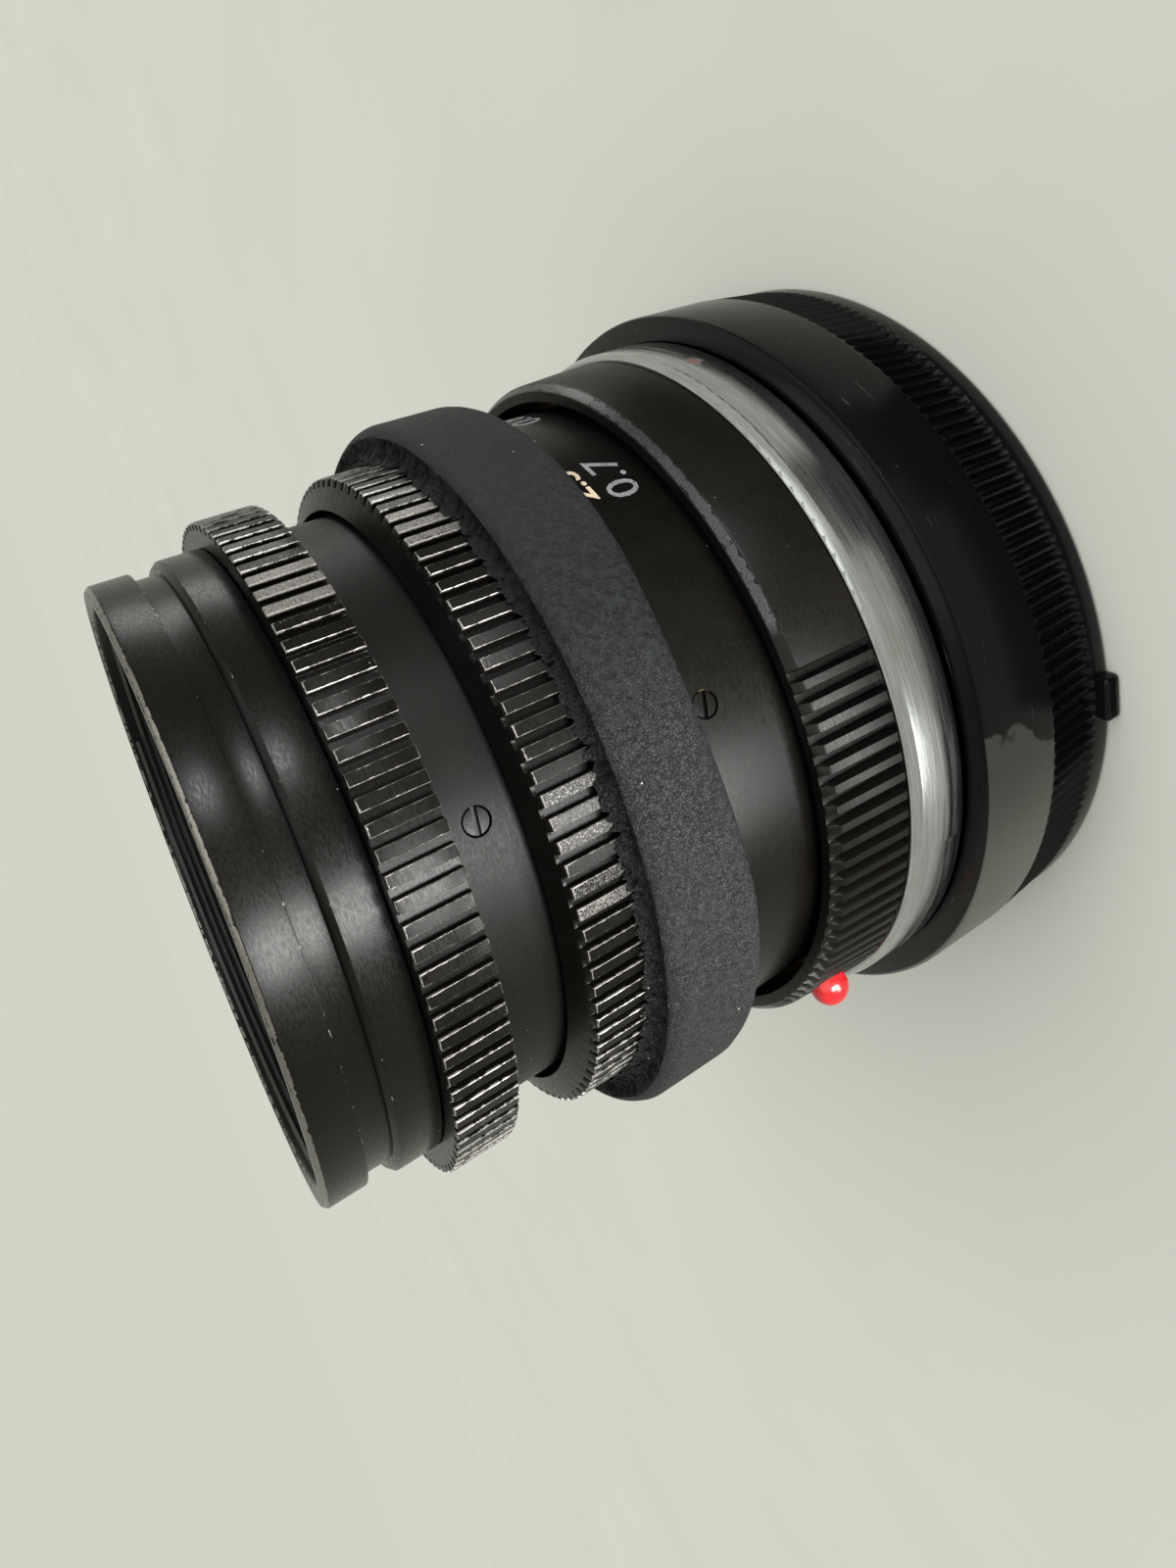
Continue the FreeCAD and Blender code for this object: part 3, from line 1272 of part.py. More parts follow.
def check_and_write():
    """Stops on a failed object, then writes each sub-part to its own file."""
    doc.recompute()
    failed = [item.Name for item in doc.Objects
              if {"Invalid", "Error"} & set(item.State)]
    if failed:
        raise RuntimeError(f"failed objects: {failed}")
    os.makedirs("parts", exist_ok=True)
    for piece in PIECES:
        shape = piece.Shape
        if shape.isNull() or not shape.isValid() or not shape.Solids:
            raise RuntimeError(f"{piece.Label} has no valid solid")
        shape.exportStep(f"parts/{piece.Label}.step")
        print(f"{piece.Label}: {len(shape.Solids)} solid(s), {shape.Volume:.2f} mm3")


rear_cap()
bayonet_flange()
flange_screws()
mount_collar()
alignment_bead()
outer_helicoid()
guide_key()
rangefinder_cam()
focus_helicoid()
focus_ring()
ring_screws("focus_ring_screws", d.scale_radius, d.helicoid_radius,
            d.focus_screw_angle, sleeve_front - d.focus_screw_depth)
grip_band()
front_barrel()
click_ball()
aperture_ring()
aperture_drive_screw()
barrel_sleeve()
ring_screws("barrel_screws", d.sleeve_radius, d.tube_bore_radius + d.screw_play,
            d.sleeve_screw_angle, sleeve_front - d.sleeve_screw_depth)
head_tube()
iris_control_ring()
iris_base_ring()
for blade_number in range(1, round(d.blade_count.value) + 1):
    iris_blade(blade_number)
front_glass()
front_cell()
trim_ring()
rear_glass()
rear_cell()
check_and_write()
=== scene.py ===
import logging
import math
from dataclasses import dataclass, field
from enum import Enum
from typing import Callable, Optional, Sequence

import bmesh
import bpy
from mathutils import Matrix, Vector, noise


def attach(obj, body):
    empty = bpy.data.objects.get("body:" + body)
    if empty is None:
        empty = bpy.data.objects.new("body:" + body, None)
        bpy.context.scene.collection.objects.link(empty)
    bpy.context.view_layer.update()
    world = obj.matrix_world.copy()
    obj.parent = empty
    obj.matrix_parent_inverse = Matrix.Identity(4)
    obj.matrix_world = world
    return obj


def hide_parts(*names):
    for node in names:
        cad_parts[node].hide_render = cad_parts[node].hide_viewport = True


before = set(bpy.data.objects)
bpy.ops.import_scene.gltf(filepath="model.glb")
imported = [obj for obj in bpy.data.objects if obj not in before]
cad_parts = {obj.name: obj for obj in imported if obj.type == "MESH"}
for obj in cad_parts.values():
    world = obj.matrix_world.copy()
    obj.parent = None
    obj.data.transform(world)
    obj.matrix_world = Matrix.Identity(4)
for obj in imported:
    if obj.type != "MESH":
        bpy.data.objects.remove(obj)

LOG = logging.getLogger("lens")

# A millimetre in metres
MM = 0.001

# Radius in millimetres under which a point lies on the optical axis
ON_AXIS = 1e-6

# Distances in metres within which points become one, or a face is a sliver
TOUCHING = 2e-7
WELDED = 2e-6
SLIVER = 1e-9

# The three screws of a ring, and their holes in millimetres
SCREWS = 3
SCREW_PITCH = 360.0 / SCREWS
SCREW_HOLE = 0.87
SCREW_HOLE_LENGTH = 2.4
SCREW_MARGIN = 1.3

# What the lamps leave out, and what one small lamp lights alone
SPARED = "spared_by_lamps"
CHROME_ONLY = "lit_chrome"

# Radius, height and groove depth of a profile's corner, in millimetres
Corner = tuple[float, float, float]
Colour = tuple[float, float, float]


class Body(Enum):
    """The rigid bodies that pieces ride on."""

    MOUNT = "mount"
    HEAD = "head"
    FOCUS = "focus"
    APERTURE = "aperture"
    CAP = "cap"


class Slot(Enum):
    """Names of the record's material slots, passed along with the new pieces."""

    BLACK = "black_anodised"
    COLLAR = "collar_black"
    CHROME = "chrome_flange"
    CAP = "cap_plastic"
    RUBBER = "band_rubber"
    BEAD = "bead_red"
    INNER = "cell_black"
    GLASS = "optical_glass"
    SCREW = "screw_black"


# ---- Meshes ----


def new_object(name: str, mesh: bpy.types.Mesh) -> bpy.types.Object:
    """Puts a mesh into the scene as an object at the origin.

    Args:
        name: the piece's name.
        mesh: its finished mesh.

    Returns:
        The new object.
    """
    piece = bpy.data.objects.new(name, mesh)
    bpy.context.scene.collection.objects.link(piece)
    return piece


def smooth(mesh: bpy.types.Mesh, crease: float) -> None:
    """Shades a mesh smooth, apart from edges sharper than an angle.

    Args:
        mesh: the mesh to shade.
        crease: the angle in degrees.
    """
    mesh.shade_smooth()
    mesh.set_sharp_from_angle(angle=math.radians(crease))


def mesh_of(name: str, shell: bmesh.types.BMesh) -> bpy.types.Mesh:
    """Turns a built shell into a mesh.

    Args:
        name: the mesh's name.
        shell: the built mesh; it is freed.

    Returns:
        The mesh.
    """
    mesh = bpy.data.meshes.new(name)
    shell.to_mesh(mesh)
    shell.free()
    return mesh


def finish_mesh(name: str, shell: bmesh.types.BMesh,
                crease: float = 32.0) -> bpy.types.Object:
    """Closes a built shell, points its faces outwards and makes it an object.

    Args:
        name: the piece's name.
        shell: the built mesh; it is freed.
        crease: angle in degrees past which an edge stays sharp.

    Returns:
        The new object.
    """
    bmesh.ops.remove_doubles(shell, verts=shell.verts, dist=TOUCHING)
    bmesh.ops.recalc_face_normals(shell, faces=shell.faces)
    mesh = mesh_of(name, shell)
    smooth(mesh, crease)
    return new_object(name, mesh)


def evaluated_copy(name: str, source: bpy.types.Object,
                   crease: float = 32.0) -> bpy.types.Object:
    """Makes a plain mesh of an object with its modifiers, and removes the object.

    Args:
        name: the plain object's name.
        source: the object with modifiers.
        crease: angle in degrees past which an edge stays sharp.

    Returns:
        The plain object.
    """
    view = bpy.context.evaluated_depsgraph_get()
    mesh = bpy.data.meshes.new_from_object(source.evaluated_get(view))
    bpy.data.objects.remove(source)
    mesh.name = name
    smooth(mesh, crease)
    return new_object(name, mesh)


def cut_away(name: str, piece: bpy.types.Object, tool: bpy.types.Object,
             crease: float = 32.0) -> bpy.types.Object:
    """Takes a tool's shape out of a piece, and removes both.

    Args:
        name: the cut piece's name.
        piece: the piece.
        tool: what is taken out.
        crease: angle in degrees past which an edge stays sharp.

    Returns:
        The cut piece.
    """
    cut = piece.modifiers.new("cut", "BOOLEAN")
    cut.operation = "DIFFERENCE"
    cut.solver = "EXACT"
    cut.object = tool
    bpy.context.view_layer.update()
    result = evaluated_copy(name, piece, crease)
    bpy.data.objects.remove(tool)
    return result


def around(radius: float, angle: float, height: float) -> tuple[float, float, float]:
    """Gives a point's coordinates from its place round the axis, angle in radians."""
    return radius * math.cos(angle), radius * math.sin(angle), height


def in_metres(point: Sequence[float]) -> tuple[float, ...]:
    """Turns coordinates in millimetres into metres."""
    return tuple(value * MM for value in point)


def block(name: str, size: Sequence[float], place: Matrix) -> bpy.types.Object:
    """Makes a block.

    Args:
        name: the piece's name.
        size: its edges in millimetres.
        place: its middle and its turn.

    Returns:
        The block.
    """
    shell = bmesh.new()
    scale = Matrix.Diagonal((*in_metres(size), 1.0))
    bmesh.ops.create_cube(shell, size=1.0, matrix=place @ scale)
    return finish_mesh(name, shell)


def skin_over(shell: bmesh.types.BMesh, rows: Sequence[Sequence[bmesh.types.BMVert]],
              closed: bool = True) -> None:
    """Spans faces between neighbouring rows of a closed section's points.

    Args:
        shell: the mesh in the making.
        rows: the section's points at each azimuth.
        closed: whether the last row meets the first.
    """
    pairs = list(zip(rows, rows[1:]))
    if closed:
        pairs.append((rows[-1], rows[0]))
    for row, following in pairs:
        on_axis = [math.hypot(corner.co.x, corner.co.y) < ON_AXIS * MM for corner in row]
        for index, corner in enumerate(row):
            ahead = (index + 1) % len(row)
            if not (on_axis[index] and on_axis[ahead]):
                shell.faces.new((corner, following[index], following[ahead], row[ahead]))


def rounded(corners: Sequence[Corner], size: float, steps: int = 3) -> list[Corner]:
    """Rounds the corners of a closed profile.

    Args:
        corners: the profile's corners.
        size: how far from a corner the rounding starts, in millimetres.
        steps: points along each rounding.

    Returns:
        The profile with rounded corners.
    """
    result: list[Corner] = []
    count = len(corners)
    for index, (radius, height, depth) in enumerate(corners):
        here = Vector((radius, height))
        before = Vector(corners[index - 1][:2])
        after = Vector(corners[(index + 1) % count][:2])
        reach = min(size, (before - here).length * 0.45, (after - here).length * 0.45)
        start = here + (before - here).normalized() * reach
        end = here + (after - here).normalized() * reach
        if radius < ON_AXIS or reach < ON_AXIS:
            result.append((radius, height, depth))
            continue
        for step in range(steps):
            share = step / (steps - 1)
            point = (start * (1 - share) ** 2 + here * 2 * share * (1 - share)
                     + end * share ** 2)
            result.append((point.x, point.y, depth))
    return result


def lathe(name: str, profile: Sequence[Corner], steps: int = 256, crease: float = 32.0,
          change: Optional[Callable[[Vector, float], Vector]] = None) -> bpy.types.Object:
    """Turns a closed profile about the optical axis.

    Args:
        name: the piece's name.
        profile: corners in millimetres.
        steps: facets round the axis.
        crease: angle in degrees past which an edge stays sharp.
        change: moves a point, given it in millimetres and its azimuth in radians.

    Returns:
        The turned piece.
    """
    shell = bmesh.new()
    rows = []
    for step in range(steps):
        azimuth = math.tau * step / steps
        row = []
        for radius, height, _ in profile:
            point = Vector(around(radius, azimuth, height))
            if change is not None:
                point = change(point, azimuth)
            row.append(shell.verts.new(point * MM))
        rows.append(row)
    skin_over(shell, rows)
    bmesh.ops.dissolve_degenerate(shell, edges=shell.edges, dist=SLIVER)
    return finish_mesh(name, shell, crease)


def segment(name: str, profile: Sequence[Corner], stations: Sequence[tuple[float, float]]
            ) -> bpy.types.Object:
    """Makes one pitch of a grooved ring, open on its two sides.

    Args:
        name: the object's name.
        profile: corners in millimetres, each with the groove's depth there.
        stations: azimuths in degrees, each with the share of the depth cut there.

    Returns:
        The segment, to be repeated round the axis.
    """
    shell = bmesh.new()
    rows = []
    for azimuth, share in stations:
        angle = math.radians(azimuth)
        row = []
        for radius, height, depth in profile:
            reach = (radius - depth * share) * MM
            row.append(shell.verts.new(around(reach, angle, height * MM)))
        rows.append(row)
    skin_over(shell, rows, closed=False)
    return new_object(name, mesh_of(name, shell))


def rib_stations(pitch: float, rib: float, radius: float, soft: float = 0.05
                 ) -> list[tuple[float, float]]:
    """Azimuths across one rib and half a groove on each side.

    Args:
        pitch: angle from rib to rib, in degrees.
        rib: width of a rib, in millimetres.
        radius: radius at which that width is measured.
        soft: width of the rib's rounded edges.

    Returns:
        Azimuths in degrees with the share of the groove's depth.
    """
    turn = math.degrees(1 / radius)
    half = rib / 2 * turn
    edge = soft * turn
    right = [
        (0.0, 0.0),
        (half - edge, 0.0),
        (half - edge * 0.3, 0.06),
        (half, 0.2),
        (half + edge * 0.3, 0.93),
        (half + edge, 1.0),
        (pitch / 2, 1.0),
    ]
    left = [(-azimuth, share) for azimuth, share in reversed(right[1:])]
    return left + right


def plug(links: bpy.types.NodeLinks, socket: bpy.types.NodeSocket, value: object) -> None:
    """Links a socket, or sets its value."""
    if isinstance(value, bpy.types.NodeSocket):
        links.new(value, socket)
    else:
        socket.default_value = value


class Graph:
    """A Geometry Nodes tree that makes a mesh from its inputs."""

    def __init__(self, name: str, inputs: Sequence[tuple[str, str]]) -> None:
        """Starts the tree.

        Args:
            name: the tree's name.
            inputs: name and kind of each input.
        """
        self.tree = bpy.data.node_groups.new(name, "GeometryNodeTree")
        sides = self.tree.interface
        self.keys = {}
        for label, kind in inputs:
            socket = sides.new_socket(label, in_out="INPUT",
                                      socket_type=f"NodeSocket{kind}")
            self.keys[label] = socket.identifier
        sides.new_socket("Geometry", in_out="OUTPUT", socket_type="NodeSocketGeometry")
        self.given = self.tree.nodes.new("NodeGroupInput").outputs

    def node(self, kind: str, inputs: dict[object, object], out: object = 0,
             **settings: str) -> bpy.types.NodeSocket:
        """Adds a node.

        Args:
            kind: the node's type.
            inputs: a value or socket for each input, by name or number.
            out: name or number of the output that is wanted.
            settings: the node's own choices.

        Returns:
            That output.
        """
        node = self.tree.nodes.new(kind)
        for label, choice in settings.items():
            setattr(node, label, choice)
        for label, value in inputs.items():
            plug(self.tree.links, node.inputs[label], value)
        return node.outputs[out]

    def put_out(self, geometry: bpy.types.NodeSocket) -> None:
        """Links the tree's result."""
        result = self.tree.nodes.new("NodeGroupOutput")
        self.tree.links.new(geometry, result.inputs[0])

    def grow(self, name: str, values: dict[str, object], crease: float = 32.0
             ) -> bpy.types.Object:
        """Runs the tree and keeps what it makes as a plain mesh.

        Args:
            name: the plain object's name.
            values: the value of each input.
            crease: angle in degrees past which an edge stays sharp.

        Returns:
            The plain object.
        """
        carrier = new_object(f"{name}_carrier", bpy.data.meshes.new(f"{name}_carrier"))
        modifier = carrier.modifiers.new(self.tree.name, "NODES")
        modifier.node_group = self.tree
        for label, value in values.items():
            modifier[self.keys[label]] = value
        carrier.update_tag()
        bpy.context.view_layer.update()
        return evaluated_copy(name, carrier, crease)


class RoundArray(Graph):
    """Repeats a segment round the optical axis."""

    def __init__(self) -> None:
        """Builds the tree."""
        super().__init__("round_array", (
            ("Segment", "Object"), ("Count", "Int"), ("First", "Float"),
            ("Pitch", "Float"), ("Finish", "Material")))
        node, given = self.node, self.given
        points = node("GeometryNodePoints", {"Count": given["Count"]})
        index = node("GeometryNodeInputIndex", {})
        turn = node("ShaderNodeMath", {0: index, 1: given["Pitch"], 2: given["First"]},
                    operation="MULTIPLY_ADD")
        euler = node("ShaderNodeCombineXYZ", {"Z": turn})
        rotation = node("FunctionNodeEulerToRotation", {0: euler})
        item = node("GeometryNodeObjectInfo", {"Object": given["Segment"]}, "Geometry")
        copies = node("GeometryNodeInstanceOnPoints", {
            "Points": points, "Instance": item, "Rotation": rotation})
        real = node("GeometryNodeRealizeInstances", {0: copies})
        merge = node("GeometryNodeMergeByDistance", {"Geometry": real, "Distance": WELDED})
        self.put_out(node("GeometryNodeSetMaterial", {
            "Geometry": merge, "Material": given["Finish"]}))

    def repeat(self, name: str, unit: bpy.types.Object, count: int, first: float,
               pitch: float, finish: bpy.types.Material) -> bpy.types.Object:
        """Repeats a unit and returns the result as a plain mesh.

        Args:
            name: the plain object's name.
            unit: the object to repeat.
            count: how many copies.
            first: azimuth of the first copy, in degrees.
            pitch: angle between copies, in degrees.
            finish: the material of the copies.

        Returns:
            The plain object.
        """
        return self.grow(name, {
            "Segment": unit, "Count": count, "First": math.radians(first),
            "Pitch": math.radians(pitch), "Finish": finish})


def merge_pieces(name: str, pieces: Sequence[bpy.types.Object], finish: bpy.types.Material,
                 crease: float = 32.0) -> bpy.types.Object:
    """Joins pieces whose edges meet into one closed mesh.

    Args:
        name: the new piece's name.
        pieces: the pieces, which are removed.
        finish: the material of the result.
        crease: angle in degrees past which an edge stays sharp.

    Returns:
        The joined piece.
    """
    shell = bmesh.new()
    for piece in pieces:
        shell.from_mesh(piece.data)
        bpy.data.objects.remove(piece)
    bmesh.ops.remove_doubles(shell, verts=shell.verts, dist=WELDED)
    result = finish_mesh(name, shell, crease)
    for face in result.data.polygons:
        face.material_index = 0
    result.data.materials.append(finish)
    return result


def radial_matrix(azimuth: float, radius: float, height: float) -> Matrix:
    """Place and turn of a thing whose +Z is to point away from the optical axis.

    Args:
        azimuth: in degrees.
        radius: in millimetres.
        height: in millimetres.

    Returns:
        The matrix; its +Y runs round the axis.
    """
    angle = math.radians(azimuth)
    out = Vector(around(1.0, angle, 0.0))
    along = Vector((-out.y, out.x, 0.0))
    up = along.cross(out)
    matrix = Matrix((up, along, out)).transposed().to_4x4()
    matrix.translation = out * radius * MM + Vector((0, 0, height * MM))
    return matrix


def drill(piece: bpy.types.Object, places: Sequence[Matrix], radius: float, reach: float
          ) -> bpy.types.Object:
    """Drills round holes along radii through a piece.

    Args:
        piece: the piece, which is replaced.
        places: where each hole's middle lies.
        radius: of the holes, in millimetres.
        reach: length of the cutting tools, in millimetres.

    Returns:
        The drilled piece.
    """
    name = piece.name
    piece.name = f"{name}_blank"
    shell = bmesh.new()
    for place in places:
        bmesh.ops.create_cone(shell, cap_ends=True, segments=40, radius1=radius * MM,
                              radius2=radius * MM, depth=reach * MM, matrix=place)
    return cut_away(name, piece, finish_mesh(f"{name}_tool", shell))


def screw_places(azimuth: float, radius: float, height: float) -> list[Matrix]:
    """Places of a ring's screw holes.

    Args:
        azimuth: of the first, in degrees.
        radius: in millimetres.
        height: in millimetres.

    Returns:
        Their matrices.
    """
    return [radial_matrix(azimuth + SCREW_PITCH * index, radius, height)
            for index in range(SCREWS)]


# ---- Node trees ----


@dataclass
class Place:
    """Sockets that give where a point of a surface lies."""

    point: bpy.types.NodeSocket
    radius: bpy.types.NodeSocket
    azimuth: bpy.types.NodeSocket
    height: bpy.types.NodeSocket


class Bench:
    """A material's node tree, with short calls for sums and patterns."""

    def __init__(self, name: str) -> None:
        """Starts a material with a Principled shader.

        Args:
            name: the material's name.
        """
        self.material = bpy.data.materials.new(name)
        self.material.use_nodes = True
        tree = self.material.node_tree
        self.nodes, self.links = tree.nodes, tree.links
        self.nodes.clear()
        self.shader = self.nodes.new("ShaderNodeBsdfPrincipled")
        output = self.nodes.new("ShaderNodeOutputMaterial")
        self.links.new(self.shader.outputs[0], output.inputs[0])

    def put(self, **values: object) -> None:
        """Sets the shader's sockets; an underscore stands for a space in a name."""
        for key, value in values.items():
            if isinstance(value, tuple) and len(value) == 3:
                value = (*value, 1.0)
            plug(self.links, self.shader.inputs[key.replace("_", " ")], value)

    def calc(self, operation: str, *values: object, clamp: bool = False
             ) -> bpy.types.NodeSocket:
        """Adds a Math node.

        Args:
            operation: the node's operation.
            values: numbers or sockets.
            clamp: whether to keep the result between 0 and 1.

        Returns:
            The result's socket.
        """
        node = self.nodes.new("ShaderNodeMath")
        node.operation = operation
        node.use_clamp = clamp
        for socket, value in zip(node.inputs, values):
            plug(self.links, socket, value)
        return node.outputs[0]

    def times(self, first: object, *others: object) -> bpy.types.NodeSocket:
        """Multiplies numbers or sockets."""
        for other in others:
            first = self.calc("MULTIPLY", first, other)
        return first

    def plus(self, first: object, second: object) -> bpy.types.NodeSocket:
        """Adds two numbers or sockets."""
        return self.calc("ADD", first, second)

    def minus(self, first: object, second: object) -> bpy.types.NodeSocket:
        """Takes the second number or socket from the first."""
        return self.calc("SUBTRACT", first, second)

    def larger(self, first: object, second: object) -> bpy.types.NodeSocket:
        """Gives the larger of two numbers or sockets."""
        return self.calc("MAXIMUM", first, second)

    def smaller(self, first: object, second: object) -> bpy.types.NodeSocket:
        """Gives the smaller of two numbers or sockets."""
        return self.calc("MINIMUM", first, second)

    def toward(self, place: Place, middle: float) -> bpy.types.NodeSocket:
        """Gives the cosine of a point's distance from an azimuth in degrees."""
        turn = self.times(self.minus(place.azimuth, middle), math.radians(1.0))
        return self.calc("COSINE", turn)

    def ramp(self, value: bpy.types.NodeSocket, low: float, high: float,
             start: float = 0.0, end: float = 1.0) -> bpy.types.NodeSocket:
        """Maps a range smoothly to another and clamps it.

        Args:
            value: what to map.
            low: where the result is start.
            high: where the result is end.
            start: result at low.
            end: result at high.

        Returns:
            The result's socket.
        """
        node = self.nodes.new("ShaderNodeMapRange")
        node.interpolation_type = "SMOOTHSTEP"
        falling = low > high
        if falling:
            low, high, start, end = high, low, end, start
        for index, number in enumerate((value, low, high, start, end)):
            plug(self.links, node.inputs[index], number)
        return node.outputs[0]

    def mix(self, share: object, first: object, second: object) -> bpy.types.NodeSocket:
        """Mixes two colours.

        Args:
            share: 0 gives the first, 1 the second.
            first: colour or socket.
            second: colour or socket.

        Returns:
            The mixed colour's socket.
        """
        node = self.nodes.new("ShaderNodeMix")
        node.data_type = "RGBA"
        plug(self.links, node.inputs[0], share)
        for socket, value in zip((node.inputs[6], node.inputs[7]), (first, second)):
            if isinstance(value, tuple) and len(value) == 3:
                value = (*value, 1.0)
            plug(self.links, socket, value)
        return node.outputs[2]

    def level(self, share: object, first: object, second: object) -> bpy.types.NodeSocket:
        """Mixes two numbers.

        Args:
            share: 0 gives the first, 1 the second.
            first: number or socket.
            second: number or socket.

        Returns:
            The mixed number's socket.
        """
        node = self.nodes.new("ShaderNodeMix")
        node.data_type = "FLOAT"
        for socket, value in zip(node.inputs[:1] + node.inputs[2:4],
                                 (share, first, second)):
            plug(self.links, socket, value)
        return node.outputs[0]

    def vector(self, across: object, along: object, up: object) -> bpy.types.NodeSocket:
        """Combines three numbers into a vector."""
        node = self.nodes.new("ShaderNodeCombineXYZ")
        for socket, value in zip(node.inputs, (across, along, up)):
            plug(self.links, socket, value)
        return node.outputs[0]

    def place(self) -> Place:
        """Gives the surface point in millimetres, and round the optical axis."""
        coordinates = self.nodes.new("ShaderNodeTexCoord")
        scale = self.nodes.new("ShaderNodeVectorMath")
        scale.operation = "SCALE"
        scale.inputs["Scale"].default_value = 1 / MM
        self.links.new(coordinates.outputs["Object"], scale.inputs[0])
        parts = self.nodes.new("ShaderNodeSeparateXYZ")
        self.links.new(scale.outputs[0], parts.inputs[0])
        across, along, height = parts.outputs
        squares = self.plus(self.times(across, across), self.times(along, along))
        radius = self.calc("SQRT", squares)
        azimuth = self.times(self.calc("ARCTAN2", along, across), math.degrees(1.0))
        return Place(scale.outputs[0], radius, azimuth, height)

    def noise(self, vector: bpy.types.NodeSocket, scale: float, detail: float = 2.0,
              roughness: float = 0.5) -> bpy.types.NodeSocket:
        """Adds a Noise texture.

        Args:
            vector: where it is read.
            scale: features per unit of the vector.
            detail: octaves.
            roughness: how strong the finer octaves are.

        Returns:
            The value's socket.
        """
        node = self.nodes.new("ShaderNodeTexNoise")
        self.links.new(vector, node.inputs["Vector"])
        node.inputs["Scale"].default_value = scale
        node.inputs["Detail"].default_value = detail
        node.inputs["Roughness"].default_value = roughness
        return node.outputs[0]

    def cells(self, vector: bpy.types.NodeSocket, scale: float
              ) -> tuple[bpy.types.NodeSocket, bpy.types.NodeSocket]:
        """Adds a Voronoi texture and gives its distance and its cells' colour."""
        node = self.nodes.new("ShaderNodeTexVoronoi")
        self.links.new(vector, node.inputs["Vector"])
        node.inputs["Scale"].default_value = scale
        return node.outputs["Distance"], node.outputs["Color"]

    def relief(self, height: bpy.types.NodeSocket, depth: float, strength: float = 1.0
               ) -> None:
        """Gives the shader a bump.

        Args:
            height: 0 to 1.
            depth: how deep a height of 1 is, in millimetres.
            strength: of the effect.
        """
        node = self.nodes.new("ShaderNodeBump")
        node.inputs["Strength"].default_value = strength
        node.inputs["Distance"].default_value = depth * MM
        self.links.new(height, node.inputs["Height"])
        self.links.new(node.outputs[0], self.shader.inputs["Normal"])

    def streaks(self, place: Place, along: float, across: float) -> bpy.types.NodeSocket:
        """Vector for marks drawn out round the axis, as turning leaves them."""
        return self.vector(self.times(place.azimuth, along),
                           self.times(place.radius, across),
                           self.times(place.height, across))


# ---- Finishes ----


@dataclass(frozen=True)
class WornEdge:
    """A turned edge whose paint has gone."""

    radius: float
    height: float
    width: float = 0.12
    strength: float = 0.7
    middle: float = 0.0
    spread: float = 180.0


@dataclass(frozen=True)
class RibPattern:
    """Where ribs lie, so that their edges can wear."""

    pitch: float
    first: float
    width: float
    top: float
    low: float
    high: float


